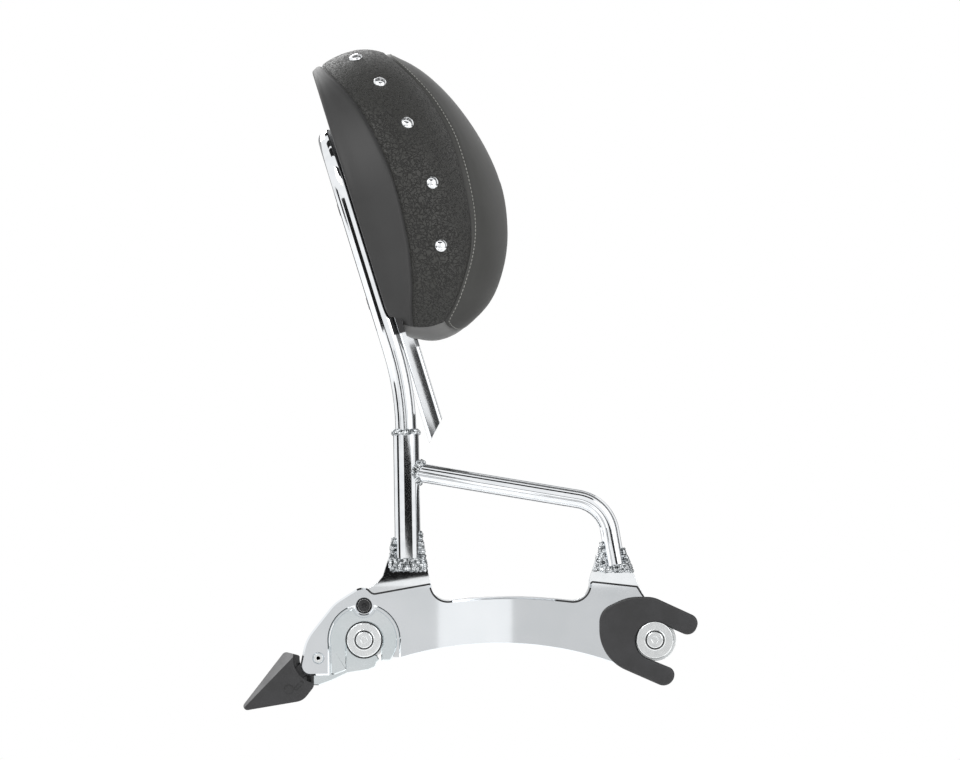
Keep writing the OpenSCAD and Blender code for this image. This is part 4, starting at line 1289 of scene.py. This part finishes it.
def dress_pad():
    mesh, stitches, seats = sewn_cover()
    mesh = cut(mesh, pad_cutters())
    mesh.name = "pad_cover"
    cushion = shown("pad_cover", mesh, None, FIXED, ["pad_cushion"], sharp=55)
    stitch_tree = along_lines("topstitch", THREAD, 4 * MM, 1.5 * MM, 0.45 * MM, 0.05, 3)
    thread = grown("topstitch", lines_mesh([[stitches, True]]), stitch_tree)
    shown("topstitch", thread, None, FIXED, sharp=180)
    heads = grown("stud_heads", seats_mesh(seats), domes(STUD_CHROME))
    shown("stud_heads", heads, None, FIXED, ["pad_studs"], sharp=180)


# Studio


# Width of the view in metres: the picture's 960 pixels at 1 mm each
VIEW_WIDTH = 0.96
VIEW_PLACE = (0.116, -3.0, 0.26)
FLOOR_Z = -0.11
FLOOR_HALF = 3
# Black band that the rear tab mirrors, its lower edge sloping as in the photograph
TAB_BAND = [(0.006, -0.42, 0.0555), (0.075, -0.42, 0.0655), (0.075, -0.42, 0.079), (0.006, -0.42, 0.079)]


def emitter(name, shade):
    """Material that gives off one even grey."""
    material = bpy.data.materials.new(name)
    tree = empty_tree(material)
    light = add(tree, "ShaderNodeEmission", {"Color": grey(shade), "Strength": 1.0})
    add(tree, "ShaderNodeOutputMaterial", {"Surface": light.outputs["Emission"]})
    return material


def card(name, shade, corners, mirrored=True):
    """Card that only the metal sees, of one shade, at these corners and at their mirror image."""
    bm = bmesh.new()
    for sign in (1, -1) if mirrored else (1,):
        bm.faces.new([bm.verts.new((x, y * sign, z)) for x, y, z in corners])
    mesh = mesh_of(name, bm)
    mesh.materials.append(emitter(name, shade))
    piece = put(name, mesh)
    piece.visible_camera = False
    piece.visible_diffuse = False
    piece.visible_shadow = False


def facing(x, z, y):
    """Corners of an upright card that faces the object's side."""
    return [(x[0], y, z[0]), (x[1], y, z[0]), (x[1], y, z[1]), (x[0], y, z[1])]


def level(x, y, z):
    return [(x[0], y[0], z), (x[1], y[0], z), (x[1], y[1], z), (x[0], y[1], z)]


def end_on(x, y, z):
    return [(x, y[0], z[0]), (x, y[1], z[0]), (x, y[1], z[1]), (x, y[0], z[1])]


def beside_bar(x, z, y):
    """Corners of a card that leans with the bar; x and z are in the bar's frame, in mm."""
    corners = [(x[0], z[0]), (x[1], z[0]), (x[1], z[1]), (x[0], z[1])]
    return [tuple(on_bar(a, 0, b) + Vector((0, y, 0))) for a, b in corners]


def cards():
    # Middle stripes of the stanchions and of the leaning bar
    card("flag_stanchion", 0.015, facing((-0.60, 1.50), (0.088, 0.207), -1.6))
    card("flag_bar", 0.015, beside_bar((-440, -90), (66, 212), -0.4))
    # Dark lines beside the middle stripe, and along the edges
    card("flag_rear", 0.02, end_on(-1.6, (-0.72, -0.06), (-0.05, 0.30)), False)
    card("flag_front", 0.05, end_on(1.7, (0.05, 1.7), (-0.05, 0.34)), False)
    card("flag_behind_rear", 0.35, facing((-1.3, -0.34), (-0.3, 0.9), 1.6), False)
    card("flag_behind_front", 0.35, facing((0.50, 1.5), (-0.3, 0.9), 1.6), False)
    # Upper line of the braces, and the dark top edge of the plates
    card("flag_over", 0.02, level((-0.5, 0.9), (-1.30, -0.72), 1.3))
    card("flag_top_rear", 0.02, level((-0.60, 0.075), (-0.30, -0.03), 1.25))
    card("flag_top_middle", 0.4, level((0.075, 0.215), (-0.30, -0.03), 1.25))
    card("flag_top_front", 0.02, level((0.215, 1.8), (-0.30, -0.03), 1.25))
    card("flag_end_front", 0.02, end_on(1.8, (-0.30, -0.03), (-0.10, 1.25)))
    # Lower lines of the braces
    card("strip_front", 0.3, level((-0.2, 0.7), (-0.49, -0.42), -0.1))
    card("strip_behind", 0.1, level((-0.4, 0.9), (0.05, 1.2), -0.1), False)
    # Dark side of the window round the hook
    card("flag_window", 0.02, level((-0.5, -0.03), (-0.15, -0.10), -0.1))
    # What stands right in front of the flat faces: the rear tab, the side plate's two ends and the rail
    card("band_tab", 0.01, TAB_BAND)
    card("grey_rear", 0.72, facing((-0.20, 0.074), (-0.12, 0.054), -0.45))
    card("grey_front", 0.66, facing((0.148, 0.42), (-0.12, 0.054), -0.45))
    card("band_rail", 0.06, beside_bar((17, 60), (-70, 40), -0.5))


def softbox(name, place, target, size, power):
    lamp = bpy.data.lights.new(name, "AREA")
    lamp.shape = "RECTANGLE"
    lamp.size, lamp.size_y = size
    lamp.energy = power
    piece = put(name, lamp)
    piece.location = place
    piece.rotation_euler = (Vector(target) - Vector(place)).to_track_quat("-Z", "Y").to_euler()


def white_surround():
    """Even light all round, and white to the camera and in reflections."""
    world = bpy.data.worlds.new("studio")
    bpy.context.scene.world = world
    tree = empty_tree(world)
    ray = add(tree, "ShaderNodeLightPath").outputs
    direct = {0: ray["Is Camera Ray"], 1: ray["Is Glossy Ray"]}
    mirrored = add(tree, "ShaderNodeMath", direct, operation="MAXIMUM")
    through = {0: mirrored.outputs[0], 1: ray["Is Transmission Ray"]}
    seen = add(tree, "ShaderNodeMath", through, operation="MAXIMUM")
    lit = add(tree, "ShaderNodeBackground", {"Color": grey(1.0), "Strength": 0.55})
    white = add(tree, "ShaderNodeBackground", {"Color": grey(1.0), "Strength": 1.0})
    mixed = add(tree, "ShaderNodeMixShader", {0: seen.outputs[0], 1: lit.outputs[0], 2: white.outputs[0]})
    add(tree, "ShaderNodeOutputWorld", {"Surface": mixed.outputs[0]})


def floor_finish():
    """Matt white sheet: white to the camera and in reflections, and it still takes the object's shadow."""
    material = bpy.data.materials.new("paper_floor")
    tree = empty_tree(material)
    ray = add(tree, "ShaderNodeLightPath").outputs
    paper = add(tree, "ShaderNodeBsdfDiffuse", {"Color": linear("#f4f4f4")})
    glow = add(tree, "ShaderNodeEmission", {"Color": grey(1.0), "Strength": 0.35})
    both = add(tree, "ShaderNodeAddShader", {0: paper.outputs[0], 1: glow.outputs[0]})
    choice = {0: ray["Is Diffuse Ray"], 1: both.outputs[0], 2: paper.outputs[0]}
    seen = add(tree, "ShaderNodeMixShader", choice)
    add(tree, "ShaderNodeOutputMaterial", {"Surface": seen.outputs[0]})
    return material


def studio():
    scene = bpy.context.scene
    scene.view_settings.view_transform = "Standard"
    white_surround()

    sheet = bpy.data.meshes.new("floor")
    edge = FLOOR_HALF
    corners = [(-edge, -edge, FLOOR_Z), (edge, -edge, FLOOR_Z), (edge, edge, FLOOR_Z), (-edge, edge, FLOOR_Z)]
    sheet.from_pydata(corners, [], [(0, 1, 2, 3)])
    sheet.materials.append(floor_finish())
    put("floor", sheet)

    softbox("key", (-0.9, -1.9, 1.7), (0.1, 0, 0.25), (1.4, 1.0), 26)
    softbox("fill", (1.6, -1.4, 0.9), (0.1, 0, 0.3), (1.0, 1.4), 9)
    softbox("back", (-0.6, 1.9, 1.5), (0.1, 0, 0.25), (1.4, 1.0), 22)

    lens = bpy.data.cameras.new("side_view")
    lens.type = "ORTHO"
    lens.ortho_scale = VIEW_WIDTH
    camera = put("side_view", lens)
    camera.location = VIEW_PLACE
    camera.rotation_euler = (math.radians(90), 0, 0)
    scene.camera = camera


dress_tubes()
dress_rigid_pieces()
dress_welds()
dress_pad()
studio()
cards()
